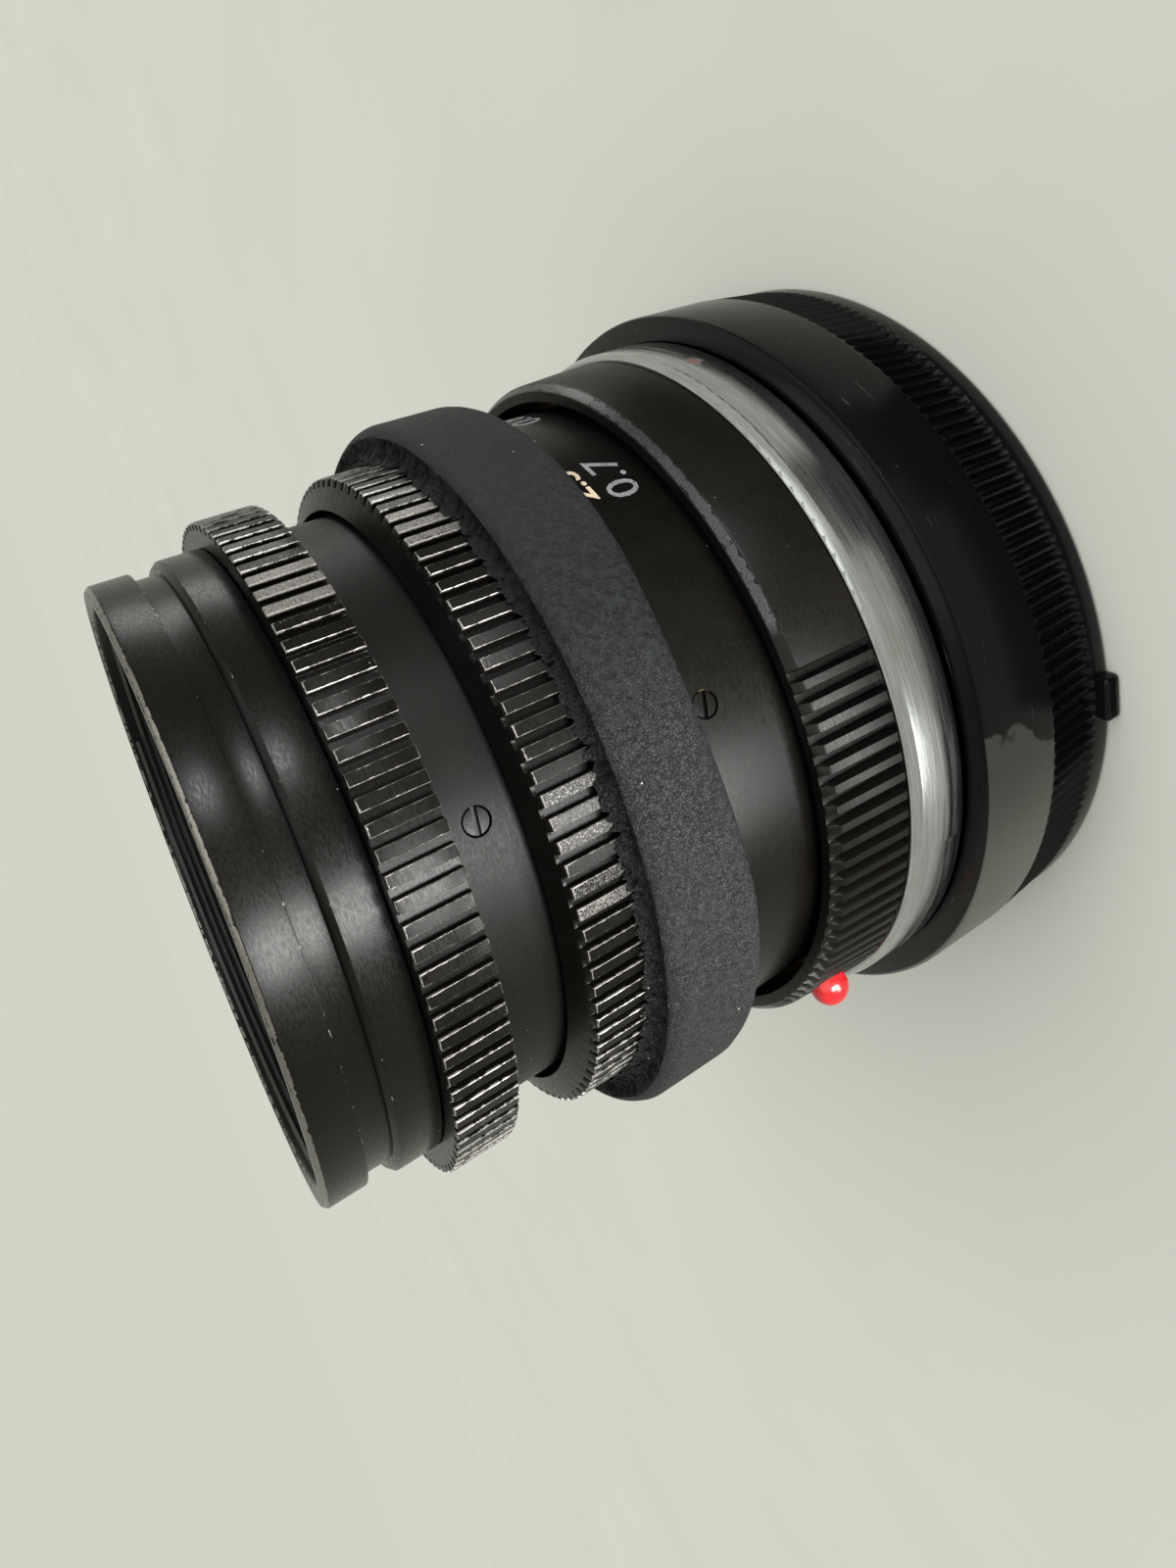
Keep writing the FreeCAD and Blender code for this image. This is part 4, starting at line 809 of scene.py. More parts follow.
@dataclass(frozen=True)
class SatinBlack:
    """Satin black on aluminium, worn to the metal on its edges."""

    name: str
    paint: Colour = (0.0018, 0.0015, 0.0012)
    roughness: float = 0.36
    gloss: float = 0.105
    grain: float = 0.5
    bare: Colour = (0.36, 0.35, 0.33)
    edges: tuple[WornEdge, ...] = ()
    ribs: Optional[RibPattern] = None
    rib_wear: float = 0.5
    handled: tuple[tuple[float, float, float], ...] = ()
    specks: float = 0.5
    dust: Colour = (0.30, 0.29, 0.26)

    def edge_mask(self, bench: Bench, place: Place, ragged: bpy.types.NodeSocket
                  ) -> bpy.types.NodeSocket:
        """Share of bare metal along the turned edges.

        Args:
            bench: the material's tree.
            place: where the point lies.
            ragged: noise that breaks the edge of the wear.

        Returns:
            The mask's socket.
        """
        total: object = 0.0
        for edge in self.edges:
            across = bench.minus(place.radius, edge.radius)
            along = bench.minus(place.height, edge.height)
            square = bench.plus(bench.times(across, across), bench.times(along, along))
            away = bench.calc("DIVIDE", bench.calc("SQRT", square), edge.width)
            level = bench.plus(bench.times(ragged, 5.0), edge.strength * 2.0 - 3.5)
            near = bench.minus(bench.smaller(level, 1.15), away)
            mask = bench.ramp(near, -0.12, 0.12)
            if edge.spread < 180.0:
                limit = math.cos(math.radians(edge.spread))
                mask = bench.times(mask, bench.ramp(
                    bench.toward(place, edge.middle), limit - 0.02, limit + 0.02))
            total = bench.larger(total, mask)
        return total

    def rib_mask(self, bench: Bench, place: Place, ragged: bpy.types.NodeSocket,
                 fine: bpy.types.NodeSocket) -> bpy.types.NodeSocket:
        """Share of bare metal on the ribs: thin lines on their edges, worn tips.

        Args:
            bench: the material's tree.
            place: where the point lies.
            ragged: coarse noise.
            fine: fine noise.

        Returns:
            The mask's socket.
        """
        ribs = self.ribs
        turns = bench.calc("DIVIDE", bench.minus(place.azimuth, ribs.first), ribs.pitch)
        shifted = bench.plus(turns, 0.5)
        number = bench.calc("FLOOR", shifted)
        offset = bench.minus(bench.calc("FRACT", shifted), 0.5)
        scale = math.radians(ribs.pitch) * ribs.top
        across = bench.times(bench.calc("ABSOLUTE", offset), scale)
        inset, fade, edge = 0.02, 0.04, ribs.width / 2
        side = bench.calc("ABSOLUTE", bench.minus(across, edge - inset))
        middle = (ribs.low + ribs.high) / 2
        half = (ribs.high - ribs.low) / 2
        along = bench.calc("ABSOLUTE", bench.minus(place.height, middle))
        end = bench.calc("ABSOLUTE", bench.minus(along, half - 0.03))
        near = bench.smaller(side, end)
        at_end = bench.ramp(place.height, ribs.high - 0.9, ribs.high - 0.2, 0.0, 0.10)
        amount = bench.plus(ragged, at_end)
        width = bench.ramp(amount, 0.40, 0.72, 0.004, 0.034 * (0.6 + self.rib_wear))
        line = bench.ramp(bench.minus(width, near), -0.006, 0.006)
        on_top = bench.times(bench.ramp(place.radius, ribs.top - 0.16, ribs.top - 0.07),
                             bench.ramp(along, half + inset + fade, half + inset))
        inside = bench.ramp(across, edge + inset + fade, edge + inset)
        random = bench.nodes.new("ShaderNodeTexWhiteNoise")
        random.noise_dimensions = "1D"
        bench.links.new(number, random.inputs["W"])
        handled: object = 0.0
        for middle_turn, spread, strength in self.handled:
            near_it = bench.ramp(bench.toward(place, middle_turn),
                                 math.cos(math.radians(spread * 1.4)),
                                 math.cos(math.radians(spread * 0.7)), 0.0, strength)
            handled = bench.larger(handled, near_it)
        rubbed = bench.plus(bench.times(random.outputs[0], 0.35), handled)
        tip = bench.ramp(bench.plus(rubbed, bench.times(fine, 0.8)), 0.92, 1.25)
        worn = bench.larger(bench.times(line, 0.72), bench.times(tip, 0.5))
        return bench.times(worn, on_top, inside)

    def make(self) -> bpy.types.Material:
        """Builds the material."""
        bench = Bench(self.name)
        place = bench.place()
        broad = bench.noise(place.point, 0.22, 3.0)
        ragged = bench.noise(place.point, 1.6, 4.0, 0.62)
        fine = bench.noise(place.point, 9.0, 3.0, 0.6)
        turned = bench.noise(bench.streaks(place, 0.9, 9.0), 1.0, 3.0, 0.6)
        worn: object = 0.0
        if self.edges:
            worn = bench.larger(worn, self.edge_mask(bench, place, ragged))
        if self.ribs is not None:
            worn = bench.larger(worn, self.rib_mask(bench, place, ragged, fine))
        lighter = tuple(value * 1.3 + 0.0003 for value in self.paint)
        paint = bench.mix(bench.ramp(broad, 0.35, 0.7), self.paint, lighter)
        distance, tint = bench.cells(place.point, 1.1)
        chosen = bench.ramp(tint, 0.86 - 0.25 * self.specks, 0.90 - 0.25 * self.specks)
        speck = bench.times(bench.ramp(distance, 0.055, 0.03), chosen)
        dusty = bench.mix(bench.times(speck, 0.5), paint, self.dust)
        metal = bench.mix(bench.ramp(fine, 0.3, 0.75), tuple(v * 0.55 for v in self.bare),
                          self.bare)
        soft = bench.level(bench.ramp(turned, 0.3, 0.7), self.roughness - 0.05,
                           self.roughness + 0.08)
        bench.put(
            Base_Color=bench.mix(worn, dusty, metal),
            Metallic=worn,
            Roughness=bench.level(worn, soft, bench.ramp(fine, 0.3, 0.7, 0.28, 0.46)),
            Specular_IOR_Level=self.gloss,
        )
        rise = bench.plus(bench.times(fine, 0.55), bench.times(turned, 0.45))
        height = bench.minus(rise, bench.times(worn, 0.6))
        bench.relief(height, 0.012, self.grain)
        return bench.material


@dataclass(frozen=True)
class SatinChrome:
    """Turned chrome with fine scratches round it, stains and a spot of rust."""

    name: str
    tint: Colour = (0.50, 0.52, 0.53)
    roughness: float = 0.22
    rust_azimuth: float = 267.0
    rust_height: float = 14.7
    band_radius: float = 26.1
    stain_tint: Colour = (0.34, 0.32, 0.29)
    rust_tint: Colour = (0.19, 0.075, 0.03)

    def make(self) -> bpy.types.Material:
        """Builds the material."""
        bench = Bench(self.name)
        place = bench.place()
        fine = bench.noise(bench.streaks(place, 0.12, 16.0), 1.0, 4.0, 0.68)
        long = bench.noise(bench.streaks(place, 0.05, 3.2), 1.0, 3.0, 0.6)
        stain = bench.noise(place.point, 0.28, 4.0, 0.6)
        away = bench.nodes.new("ShaderNodeVectorMath")
        away.operation = "DISTANCE"
        bench.links.new(place.point, away.inputs[0])
        away.inputs[1].default_value = around(
            self.band_radius, math.radians(self.rust_azimuth), self.rust_height)
        ragged = bench.noise(place.point, 2.4, 3.0, 0.6)
        edge = bench.minus(bench.times(ragged, 1.1), away.outputs["Value"])
        rust = bench.ramp(edge, -0.15, 0.2)
        steel = bench.mix(bench.ramp(fine, 0.36, 0.64), tuple(v * 0.66 for v in self.tint),
                          self.tint)
        stained = bench.mix(bench.ramp(stain, 0.56, 0.72, 0.0, 0.35), steel,
                            self.stain_tint)
        bench.put(
            Base_Color=bench.mix(bench.times(rust, 0.75), stained, self.rust_tint),
            Metallic=bench.level(rust, 1.0, 0.2),
            Roughness=bench.plus(bench.ramp(long, 0.35, 0.7, self.roughness - 0.05,
                                            self.roughness + 0.12), bench.times(rust, 0.4)),
            Anisotropic=0.55,
        )
        tangent = bench.nodes.new("ShaderNodeTangent")
        tangent.direction_type = "RADIAL"
        tangent.axis = "Z"
        bench.links.new(tangent.outputs[0], bench.shader.inputs["Tangent"])
        bench.relief(fine, 0.006, 0.5)
        return bench.material


@dataclass(frozen=True)
class GripRubber:
    """Moulded rubber: dark, fine-grained, with smoother patches and pale crumbs; pale dust
    gathered on one side, partly real dust and partly a painted sheen; and a torn lip made
    darker as painted shade.
    """

    name: str
    tint: Colour = (0.0040, 0.0047, 0.0053)
    front_edge: float = 36.1
    # Azimuth round which pale dust gathers, partly real dust and partly a painted sheen.
    dust_and_sheen_azimuth: float = 182.0
    # Colour of the torn lip and of the faces over the ribs: painted shade.
    lip_shade_tint: Colour = (0.0018, 0.0018, 0.0020)
    dust_tint: Colour = (0.20, 0.20, 0.185)
    crumb_tint: Colour = (0.45, 0.44, 0.40)

    def make(self) -> bpy.types.Material:
        """Builds the material."""
        bench = Bench(self.name)
        place = bench.place()
        broad = bench.noise(place.point, 0.16, 2.0)
        grain = bench.noise(place.point, 2.3, 6.0, 0.70)
        fine = bench.noise(place.point, 9.0, 4.0, 0.65)
        grit = bench.noise(place.point, 10.0, 2.0, 0.5)
        # Pale specks gathered round one azimuth: partly real dust, partly a painted sheen
        # where the rubber catches the light.
        dust_and_sheen_side = bench.ramp(bench.toward(place, self.dust_and_sheen_azimuth), 0.62, 0.94, 0.06,
                              1.0)
        patchy = bench.times(dust_and_sheen_side, bench.ramp(broad, 0.40, 0.60, 0.6, 1.0))
        dust_and_sheen_speckle = bench.times(bench.ramp(grit, 0.52, 0.62), patchy)
        coarse, coarse_tint = bench.cells(place.point, 0.8)
        crumb = bench.times(bench.ramp(coarse, 0.075, 0.035),
                            bench.ramp(coarse_tint, 0.70, 0.74))
        # Painted shade: the torn lip and the faces in the recess over the ribs are made
        # darker.
        edge = bench.times(bench.ramp(place.radius, 24.7, 24.4),
                           bench.ramp(place.height, self.front_edge - 2.4,
                                      self.front_edge - 2.0))
        base = bench.mix(bench.ramp(grain, 0.40, 0.62),
                         tuple(value * 0.55 for value in self.tint),
                         tuple(value * 2.3 for value in self.tint))
        darker = bench.mix(bench.times(edge, 0.9), base, self.lip_shade_tint)
        dusty = bench.mix(bench.times(dust_and_sheen_speckle, 0.15), darker, self.dust_tint)
        bench.put(
            Base_Color=bench.mix(bench.times(crumb, 0.8), dusty, self.crumb_tint),
            Roughness=bench.ramp(grain, 0.3, 0.7, 0.50, 0.72),
            Specular_IOR_Level=0.16,
        )
        rise = bench.plus(bench.times(grain, bench.ramp(broad, 0.35, 0.6, 0.35, 0.8)),
                          bench.times(fine, 0.3))
        bench.relief(rise, 0.42, 1.0)
        return bench.material


@dataclass(frozen=True)
class MouldedPlastic:
    """Black moulded plastic with a worn gloss, fine scratches and nicks, and a lighter,
    rougher patch on one side of the wall that is a painted reflection.
    """

    name: str
    tint: Colour = (0.0034, 0.0038, 0.0038)
    roughness: float = 0.20
    # Where the painted reflection on the wall ends, how its edge slants with height, and
    # its colour.
    reflection_azimuth: float = 191.8
    reflection_height: float = 9.4
    reflection_tint: Colour = (0.150, 0.150, 0.134)
    scratch_tint: Colour = (0.11, 0.11, 0.105)

    def make(self) -> bpy.types.Material:
        """Builds the material."""
        bench = Bench(self.name)
        place = bench.place()
        broad = bench.noise(place.point, 0.13, 4.0, 0.55)
        fine = bench.noise(place.point, 5.0, 3.0, 0.6)
        scratch = bench.noise(bench.streaks(place, 0.16, 4.5), 1.0, 2.0, 0.5)
        nick, nick_tint = bench.cells(place.point, 0.42)
        picked = bench.times(bench.ramp(nick, 0.06, 0.025),
                             bench.ramp(nick_tint, 0.72, 0.76))
        # Painted reflection: the wall's smooth band is lighter up to one azimuth, more so
        # further round, with a ragged edge. It stands for a pale surface reflected in the
        # plastic, and the roughness rises with it.
        round_way = bench.calc("MODULO", bench.plus(place.azimuth, 360.0), 360.0)
        slant = bench.times(bench.minus(place.height, self.reflection_height), 0.8)
        wander = bench.times(bench.minus(broad, 0.5), 26.0)
        turn = bench.plus(bench.minus(round_way, slant), wander)
        on_wall = bench.times(bench.ramp(place.height, 6.45, 6.65),
                              bench.ramp(place.radius, 27.7, 27.85))
        reflecting_side = bench.ramp(turn, self.reflection_azimuth + 0.5, self.reflection_azimuth - 0.4)
        end = self.reflection_azimuth
        reflection_strength = bench.ramp(round_way, end, end - 22.0, 0.4, 1.0)
        started = bench.ramp(round_way, end - 85.0, end - 45.0)
        painted_reflection = bench.times(reflecting_side, on_wall, reflection_strength, started)
        line = bench.times(bench.ramp(scratch, 0.70, 0.74), 0.35)
        mark = bench.larger(bench.times(picked, 0.8), line)
        # The plastic's colour with the painted reflection mixed in.
        film = bench.mix(painted_reflection, self.tint, self.reflection_tint)
        bench.put(
            Base_Color=bench.mix(mark, film, self.scratch_tint),
            Roughness=bench.plus(bench.level(painted_reflection, self.roughness, self.roughness + 0.10),
                                 bench.times(fine, 0.06)),
            Specular_IOR_Level=0.17,
        )
        bench.relief(bench.plus(bench.times(fine, 0.5), broad), 0.02, 0.5)
        return bench.material


@dataclass(frozen=True)
class Lacquer:
    """Smooth colour with a slight unevenness, as on the bead and the painted marks."""

    name: str
    tint: Colour
    roughness: float = 0.2
    chips: float = 0.0
    under: Colour = (0.02, 0.019, 0.018)

    def make(self) -> bpy.types.Material:
        """Builds the material."""
        bench = Bench(self.name)
        place = bench.place()
        broad = bench.noise(place.point, 0.7, 3.0)
        fine = bench.noise(place.point, 6.0, 3.0, 0.65)
        darker = tuple(value * 0.72 for value in self.tint)
        colour = bench.mix(bench.ramp(broad, 0.3, 0.7), darker, self.tint)
        chipped = bench.ramp(fine, 0.86 - 0.5 * self.chips, 0.92 - 0.5 * self.chips)
        bench.put(
            Base_Color=bench.mix(chipped, colour, self.under),
            Roughness=bench.ramp(fine, 0.3, 0.7, self.roughness, self.roughness + 0.12),
            Specular_IOR_Level=0.5,
        )
        bench.relief(fine, 0.01, 0.35)
        return bench.material


@dataclass(frozen=True)
class TurnedMetal:
    """Bare turned metal, such as brass or steel, with tool marks and tarnish."""

    name: str
    tint: Colour
    dull: Colour
    roughness: float = 0.3

    def make(self) -> bpy.types.Material:
        """Builds the material."""
        bench = Bench(self.name)
        place = bench.place()
        marks = bench.noise(bench.streaks(place, 0.3, 11.0), 1.0, 3.0, 0.6)
        spots = bench.noise(place.point, 0.9, 4.0, 0.6)
        bench.put(
            Base_Color=bench.mix(bench.ramp(spots, 0.42, 0.7), self.tint, self.dull),
            Metallic=1.0,
            Roughness=bench.ramp(marks, 0.3, 0.7, self.roughness, self.roughness + 0.15),
        )
        bench.relief(marks, 0.01, 0.5)
        return bench.material


@dataclass(frozen=True)
class MattBlack:
    """Matt black paint inside the lens, with dust and turned steps."""

    name: str
    tint: Colour = (0.0075, 0.0075, 0.0078)
    roughness: float = 0.62
    dust_tint: Colour = (0.3, 0.3, 0.28)

    def make(self) -> bpy.types.Material:
        """Builds the material."""
        bench = Bench(self.name)
        place = bench.place()
        fine = bench.noise(place.point, 7.0, 3.0, 0.6)
        turned = bench.noise(bench.streaks(place, 0.4, 6.0), 1.0, 3.0, 0.55)
        distance, tint = bench.cells(place.point, 1.3)
        dust = bench.times(bench.ramp(distance, 0.07, 0.03), bench.ramp(tint, 0.72, 0.76))
        base = bench.mix(bench.ramp(fine, 0.35, 0.7), self.tint,
                         tuple(value * 1.6 for value in self.tint))
        bench.put(
            Base_Color=bench.mix(bench.times(dust, 0.4), base, self.dust_tint),
            Roughness=bench.ramp(turned, 0.3, 0.7, self.roughness - 0.08,
                                 self.roughness + 0.08),
            Specular_IOR_Level=0.3,
        )
        bench.relief(turned, 0.015, 0.5)
        return bench.material


@dataclass(frozen=True)
class CoatedGlass:
    """Clear glass with a thin coating that colours its reflections."""

    name: str
    film: float = 330.0
    index: float = 1.6
    clear: Colour = (0.97, 0.975, 0.985)
    smeared: Colour = (0.93, 0.94, 0.955)

    def make(self) -> bpy.types.Material:
        """Builds the material."""
        bench = Bench(self.name)
        place = bench.place()
        smear = bench.noise(place.point, 0.35, 4.0, 0.6)
        bench.put(
            Base_Color=bench.mix(bench.ramp(smear, 0.4, 0.75), self.clear,
                                 self.smeared),
            Roughness=bench.ramp(smear, 0.45, 0.8, 0.0, 0.035),
            Transmission_Weight=1.0,
            IOR=self.index,
            Thin_Film_Thickness=self.film,
            Thin_Film_IOR=1.38,
        )
        return bench.material


class Finishes:
    """Makes each finish once and hands it out by name."""

    def __init__(self) -> None:
        """Starts with no material made."""
        self.made: dict[str, bpy.types.Material] = {}

    def get(self, finish: object) -> bpy.types.Material:
        """Gives the material of a finish, and builds it on first use."""
        if finish.name not in self.made:
            self.made[finish.name] = finish.make()
        return self.made[finish.name]


# ---- Pieces ----


@dataclass
class Assembly:
    """What every sub-assembly shares: its finishes and how its pieces are handed over."""

    finishes: Finishes
    repeats: RoundArray
    pieces: list[str] = field(default_factory=list)

    def hand_over(self, piece: bpy.types.Object, body: Body, slot: Optional[Slot] = None,
                  nodes: Sequence[str] = ()) -> None:
        """Lets a finished piece ride on its body.

        Args:
            piece: the piece.
            body: the body that it moves with.
            slot: not used.
            nodes: solids that it stands for.
        """
        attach(piece, body.value)
        if nodes:
            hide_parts(*nodes)
        self.pieces.append(piece.name)

    def coat(self, piece: bpy.types.Object, finish: object) -> None:
        """Gives a piece one finish."""
        piece.data.materials.clear()
        piece.data.materials.append(self.finishes.get(finish))

    def ribbed(self, name: str, profile: Sequence[Corner],
               stations: Sequence[tuple[float, float]], count: int, first: float,
               finish: object, crease: float = 32.0) -> bpy.types.Object:
        """Makes a ring from one rib repeated all round it.

        Args:
            name: the ring's name.
            profile: corners in millimetres, each with the groove's depth there.
            stations: azimuths across a rib, each with the share of the depth.
            count: how many ribs there are.
            first: azimuth of the first, in degrees.
            finish: of the ring.
            crease: angle in degrees past which an edge stays sharp.

        Returns:
            The ring.
        """
        material = self.finishes.get(finish)
        unit = segment(f"{name}_rib", profile, stations)
        ring = self.repeats.repeat(f"{name}_ribs", unit, count, first, 360.0 / count,
                                   material)
        bpy.data.objects.remove(unit)
        return merge_pieces(name, [ring], material, crease)

    def coat_node(self, node: str, finish: object) -> None:
        """Gives a solid that stays a better material."""
        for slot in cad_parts[node].material_slots:
            slot.material = self.finishes.get(finish)


def spare(thing: bpy.types.Object) -> None:
    """Keeps the lamps' light off a thing, so that it stays even."""
    spared = bpy.data.collections[SPARED]
    spared.objects.link(thing)
    spared.collection_objects[-1].light_linking.link_state = "EXCLUDE"


def plain(points: Sequence[tuple[float, float]]) -> list[Corner]:
    """Corners with no groove."""
    return [(radius, height, 0.0) for radius, height in points]


@dataclass
class FrontBarrel(Assembly):
    """Rim with the filter thread, the hood-clip groove and the second band."""

    rim: float = 20.55
    front: float = 55.0
    filter_radius: float = 19.25
    floor: float = 51.6
    rim_low: float = 52.4
    groove: float = 20.0
    band: float = 20.8
    shelf: float = 50.5
    low: float = 48.0
    bore: float = 19.6
    inner: float = 18.5
    thread_pitch: float = 0.5
    thread_depth: float = 0.22
    thread_run_in: float = 0.3
    thread_run_out: float = 0.6
    ridge_share: float = 0.9

    def finish(self) -> SatinBlack:
        """The barrel's worn black."""
        return SatinBlack(
            "front_barrel_black", roughness=0.27, bare=(0.24, 0.23, 0.21),
            edges=(WornEdge(self.rim - 0.12, self.front - 0.12, 0.14, 1.08),
                   WornEdge(self.filter_radius + 0.1, self.front - 0.06, 0.10, 0.95),
                   WornEdge(self.rim, self.rim_low, 0.12, 0.36),
                   WornEdge(self.band, self.shelf, 0.07, 0.30)))

    def build(self) -> None:
        """Makes the barrel and its thread."""
        profile = rounded(plain([
            (self.bore, self.low), (self.band, self.low), (self.band, self.shelf),
            (self.band - 0.35, self.shelf + 0.35), (self.groove, self.shelf + 0.35),
            (self.groove, self.rim_low), (self.rim, self.rim_low),
            (self.rim, self.front - 0.25),
            (self.rim - 0.25, self.front), (self.filter_radius + 0.25, self.front),
            (self.filter_radius, self.front - 0.25), (self.filter_radius, self.floor),
            (self.inner, self.floor), (self.inner, self.shelf),
            (self.bore, self.shelf)]), 0.06)
        barrel = lathe("front_barrel_turned", profile, 320)
        self.coat(barrel, self.finish())
        self.hand_over(barrel, Body.HEAD, Slot.BLACK, ["front_barrel"])
        thread = self.thread()
        self.coat(thread, MattBlack("thread_black", (0.012, 0.0115, 0.011), 0.42))
        self.hand_over(thread, Body.HEAD, Slot.BLACK)

    def thread(self) -> bpy.types.Object:
        """Cuts the filter thread's ridge as a helix inside the rim.

        Returns:
            The ridge as a plain mesh.
        """
        graph = Graph("thread_ridge", [
            (label, "Float")
            for label in ("Radius", "Turns", "Rise", "Base", "Pitch", "Depth")])
        node, given = graph.node, graph.given
        helix = node("GeometryNodeCurveSpiral", {
            "Resolution": 160, "Rotations": given["Turns"], "Height": given["Rise"],
            "Start Radius": given["Radius"], "End Radius": given["Radius"]})
        base = node("ShaderNodeCombineXYZ", {"Z": given["Base"]})
        lifted = node("GeometryNodeTransform", {"Geometry": helix, "Translation": base})
        upright = node("GeometryNodeSetCurveNormal", {"Curve": lifted}, mode="Z_UP")
        square = node("GeometryNodeCurvePrimitiveCircle",
                      {"Resolution": 4, "Radius": 1.0}, mode="RADIUS")
        half = node("ShaderNodeMath", {0: given["Pitch"], 1: 0.5}, operation="MULTIPLY")
        size = node("ShaderNodeCombineXYZ", {"X": given["Depth"], "Y": half, "Z": 1.0})
        ridge = node("GeometryNodeTransform", {"Geometry": square, "Scale": size})
        sweep = node("GeometryNodeCurveToMesh", {
            "Curve": upright, "Profile Curve": ridge, "Fill Caps": True})
        graph.put_out(node("GeometryNodeRealizeInstances", {0: sweep}))
        rise = self.front - self.thread_run_out - self.floor - self.thread_run_in
        return graph.grow("filter_thread", {
            "Radius": self.filter_radius * MM, "Turns": rise / self.thread_pitch,
            "Rise": rise * MM, "Base": (self.floor + self.thread_run_in) * MM,
            "Pitch": self.thread_pitch * MM * self.ridge_share,
            "Depth": self.thread_depth * MM}, 20.0)


@dataclass
class ApertureRing(Assembly):
    """Ribbed ring that opens and closes the iris."""

    radius: float = 22.5
    depth: float = 0.5
    low: float = 44.0
    high: float = 47.9
    bore: float = 19.6
    count: int = 105
    groove: float = 0.6
    soft: float = 0.12
    drive_azimuth: float = 60.0
    drive_hole: float = 0.75
    drive_hole_length: float = 3.2

    def build(self) -> None:
        """Makes the ring from one rib repeated round it."""
        pitch = 360.0 / self.count
        rib = math.radians(pitch) * self.radius - self.groove
        finish = SatinBlack(
            "aperture_ring_black", roughness=0.29, rib_wear=0.75,
            handled=((256.0, 7.0, 0.50), (161.0, 8.0, 0.30), (77.0, 9.0, 0.5)),
            edges=(WornEdge(self.radius - 0.05, self.high - 0.05, 0.10, 0.40),
                   WornEdge(self.radius - 0.05, self.low + 0.05, 0.08, 0.28)),
            ribs=RibPattern(pitch, pitch / 2, rib, self.radius, self.low, self.high))
        soft, deep = self.soft, self.depth
        profile = [
            (self.bore, self.low, 0.0),
            (self.radius - deep, self.low, 0.0),
            (self.radius - soft, self.low, deep - soft),
            (self.radius - soft * 0.3, self.low + soft * 0.3, deep - soft * 0.3),
            (self.radius, self.low + soft, deep),
            (self.radius, self.high - soft, deep),
            (self.radius - soft * 0.3, self.high - soft * 0.3, deep - soft * 0.3),
            (self.radius - soft, self.high, deep - soft),
            (self.radius - deep, self.high, 0.0),
            (self.bore + 0.1, self.high, 0.0),
            (self.bore, self.high - 0.1, 0.0),
        ]
        stations = rib_stations(pitch, rib, self.radius)
        ring = self.ribbed("aperture_ring_turned", profile, stations, self.count, pitch / 2,
                           finish)
        place = radial_matrix(self.drive_azimuth, self.radius, (self.low + self.high) / 2)
        ring = drill(ring, [place], self.drive_hole, self.drive_hole_length)
        self.hand_over(ring, Body.APERTURE, Slot.BLACK, ["aperture_ring"])


@dataclass
class BarrelSleeve(Assembly):
    """Smooth barrel behind the aperture ring, with its three screws."""

    radius: float = 20.35
    bore: float = 19.6
    low: float = 33.0
    high: float = 43.9
    screw_azimuth: float = 212.0
    screw_height: float = 42.02
    screw_turn: float = -8.0
    screw_inner: float = 18.95

    def build(self) -> None:
        """Makes the sleeve and drills it for its screws."""
        near = self.screw_height
        profile = rounded(plain([
            (self.bore, self.low), (self.radius, self.low),
            (self.radius, near - SCREW_MARGIN), (self.radius, near),
            (self.radius, near + SCREW_MARGIN), (self.radius, self.high),
            (self.bore, self.high)]), 0.05)
        sleeve = lathe("barrel_sleeve_turned", profile, 320)
        self.coat(sleeve, SatinBlack("barrel_black", roughness=0.44, gloss=0.11, grain=0.7,
                                      specks=0.55))
        places = screw_places(self.screw_azimuth, self.radius - 0.3, near)
        sleeve = drill(sleeve, places, SCREW_HOLE, SCREW_HOLE_LENGTH)
        self.hand_over(sleeve, Body.HEAD, Slot.BLACK, ["barrel_sleeve"])
        SlottedScrews(self.finishes, self.repeats, self.pieces).build(
            "barrel_screws_turned", ["barrel_screws"], Body.HEAD, self.radius,
            self.screw_azimuth, near, self.screw_turn, self.screw_inner)


@dataclass
class SlottedScrews(Assembly):
    """Three slotted screws set in a ring, their heads just under its surface."""

    head: float = 0.8
    thickness: float = 0.55
    shank: float = 0.5
    slot_width: float = 0.32
    slot_depth: float = 0.28
    sunk: float = 0.05

    def build(self, name: str, nodes: Sequence[str], body: Body, surface: float,
              azimuth: float, height: float, turn: float, inner: float) -> None:
        """Makes one screw and repeats it round the axis.

        Args:
            name: the pieces' name.
            nodes: the solids that they stand for.
            body: what they ride on.
            surface: radius of the ring's surface, in millimetres.
            azimuth: of the first screw, in degrees.
            height: of the screws, in millimetres.
            turn: how far the slot is turned from the ring's direction, in degrees.
            inner: radius at which the shank ends, in millimetres.
        """
        seat = surface - self.sunk
        reach = seat - inner
        top = plain([(0.0, -reach), (self.shank, -reach), (self.shank, -self.thickness),
                     (self.head, -self.thickness), (self.head, -0.09),
                     (self.head - 0.07, -0.025), (self.head * 0.55, -0.005), (0.0, 0.0)])
        screw = lathe(f"{name}_blank", top, 48, 40.0)
        slot = block(f"{name}_slot", (self.slot_width, self.head * 3, self.slot_depth * 2),
                     Matrix.Rotation(math.radians(turn), 4, "Z"))
        screw = cut_away(f"{name}_one", screw, slot, 30.0)
        screw.data.transform(radial_matrix(0.0, seat, height))
        finish = self.finishes.get(SatinBlack(
            "screw_black", (0.0016, 0.0014, 0.0012), 0.30, 0.10, 0.6, (0.30, 0.26, 0.21),
            edges=(WornEdge(seat, height, 0.45, 0.12),), specks=0.0))
        ring = self.repeats.repeat(name, screw, SCREWS, azimuth, SCREW_PITCH, finish)
        bpy.data.objects.remove(screw)
        self.hand_over(ring, body, Slot.SCREW, nodes)


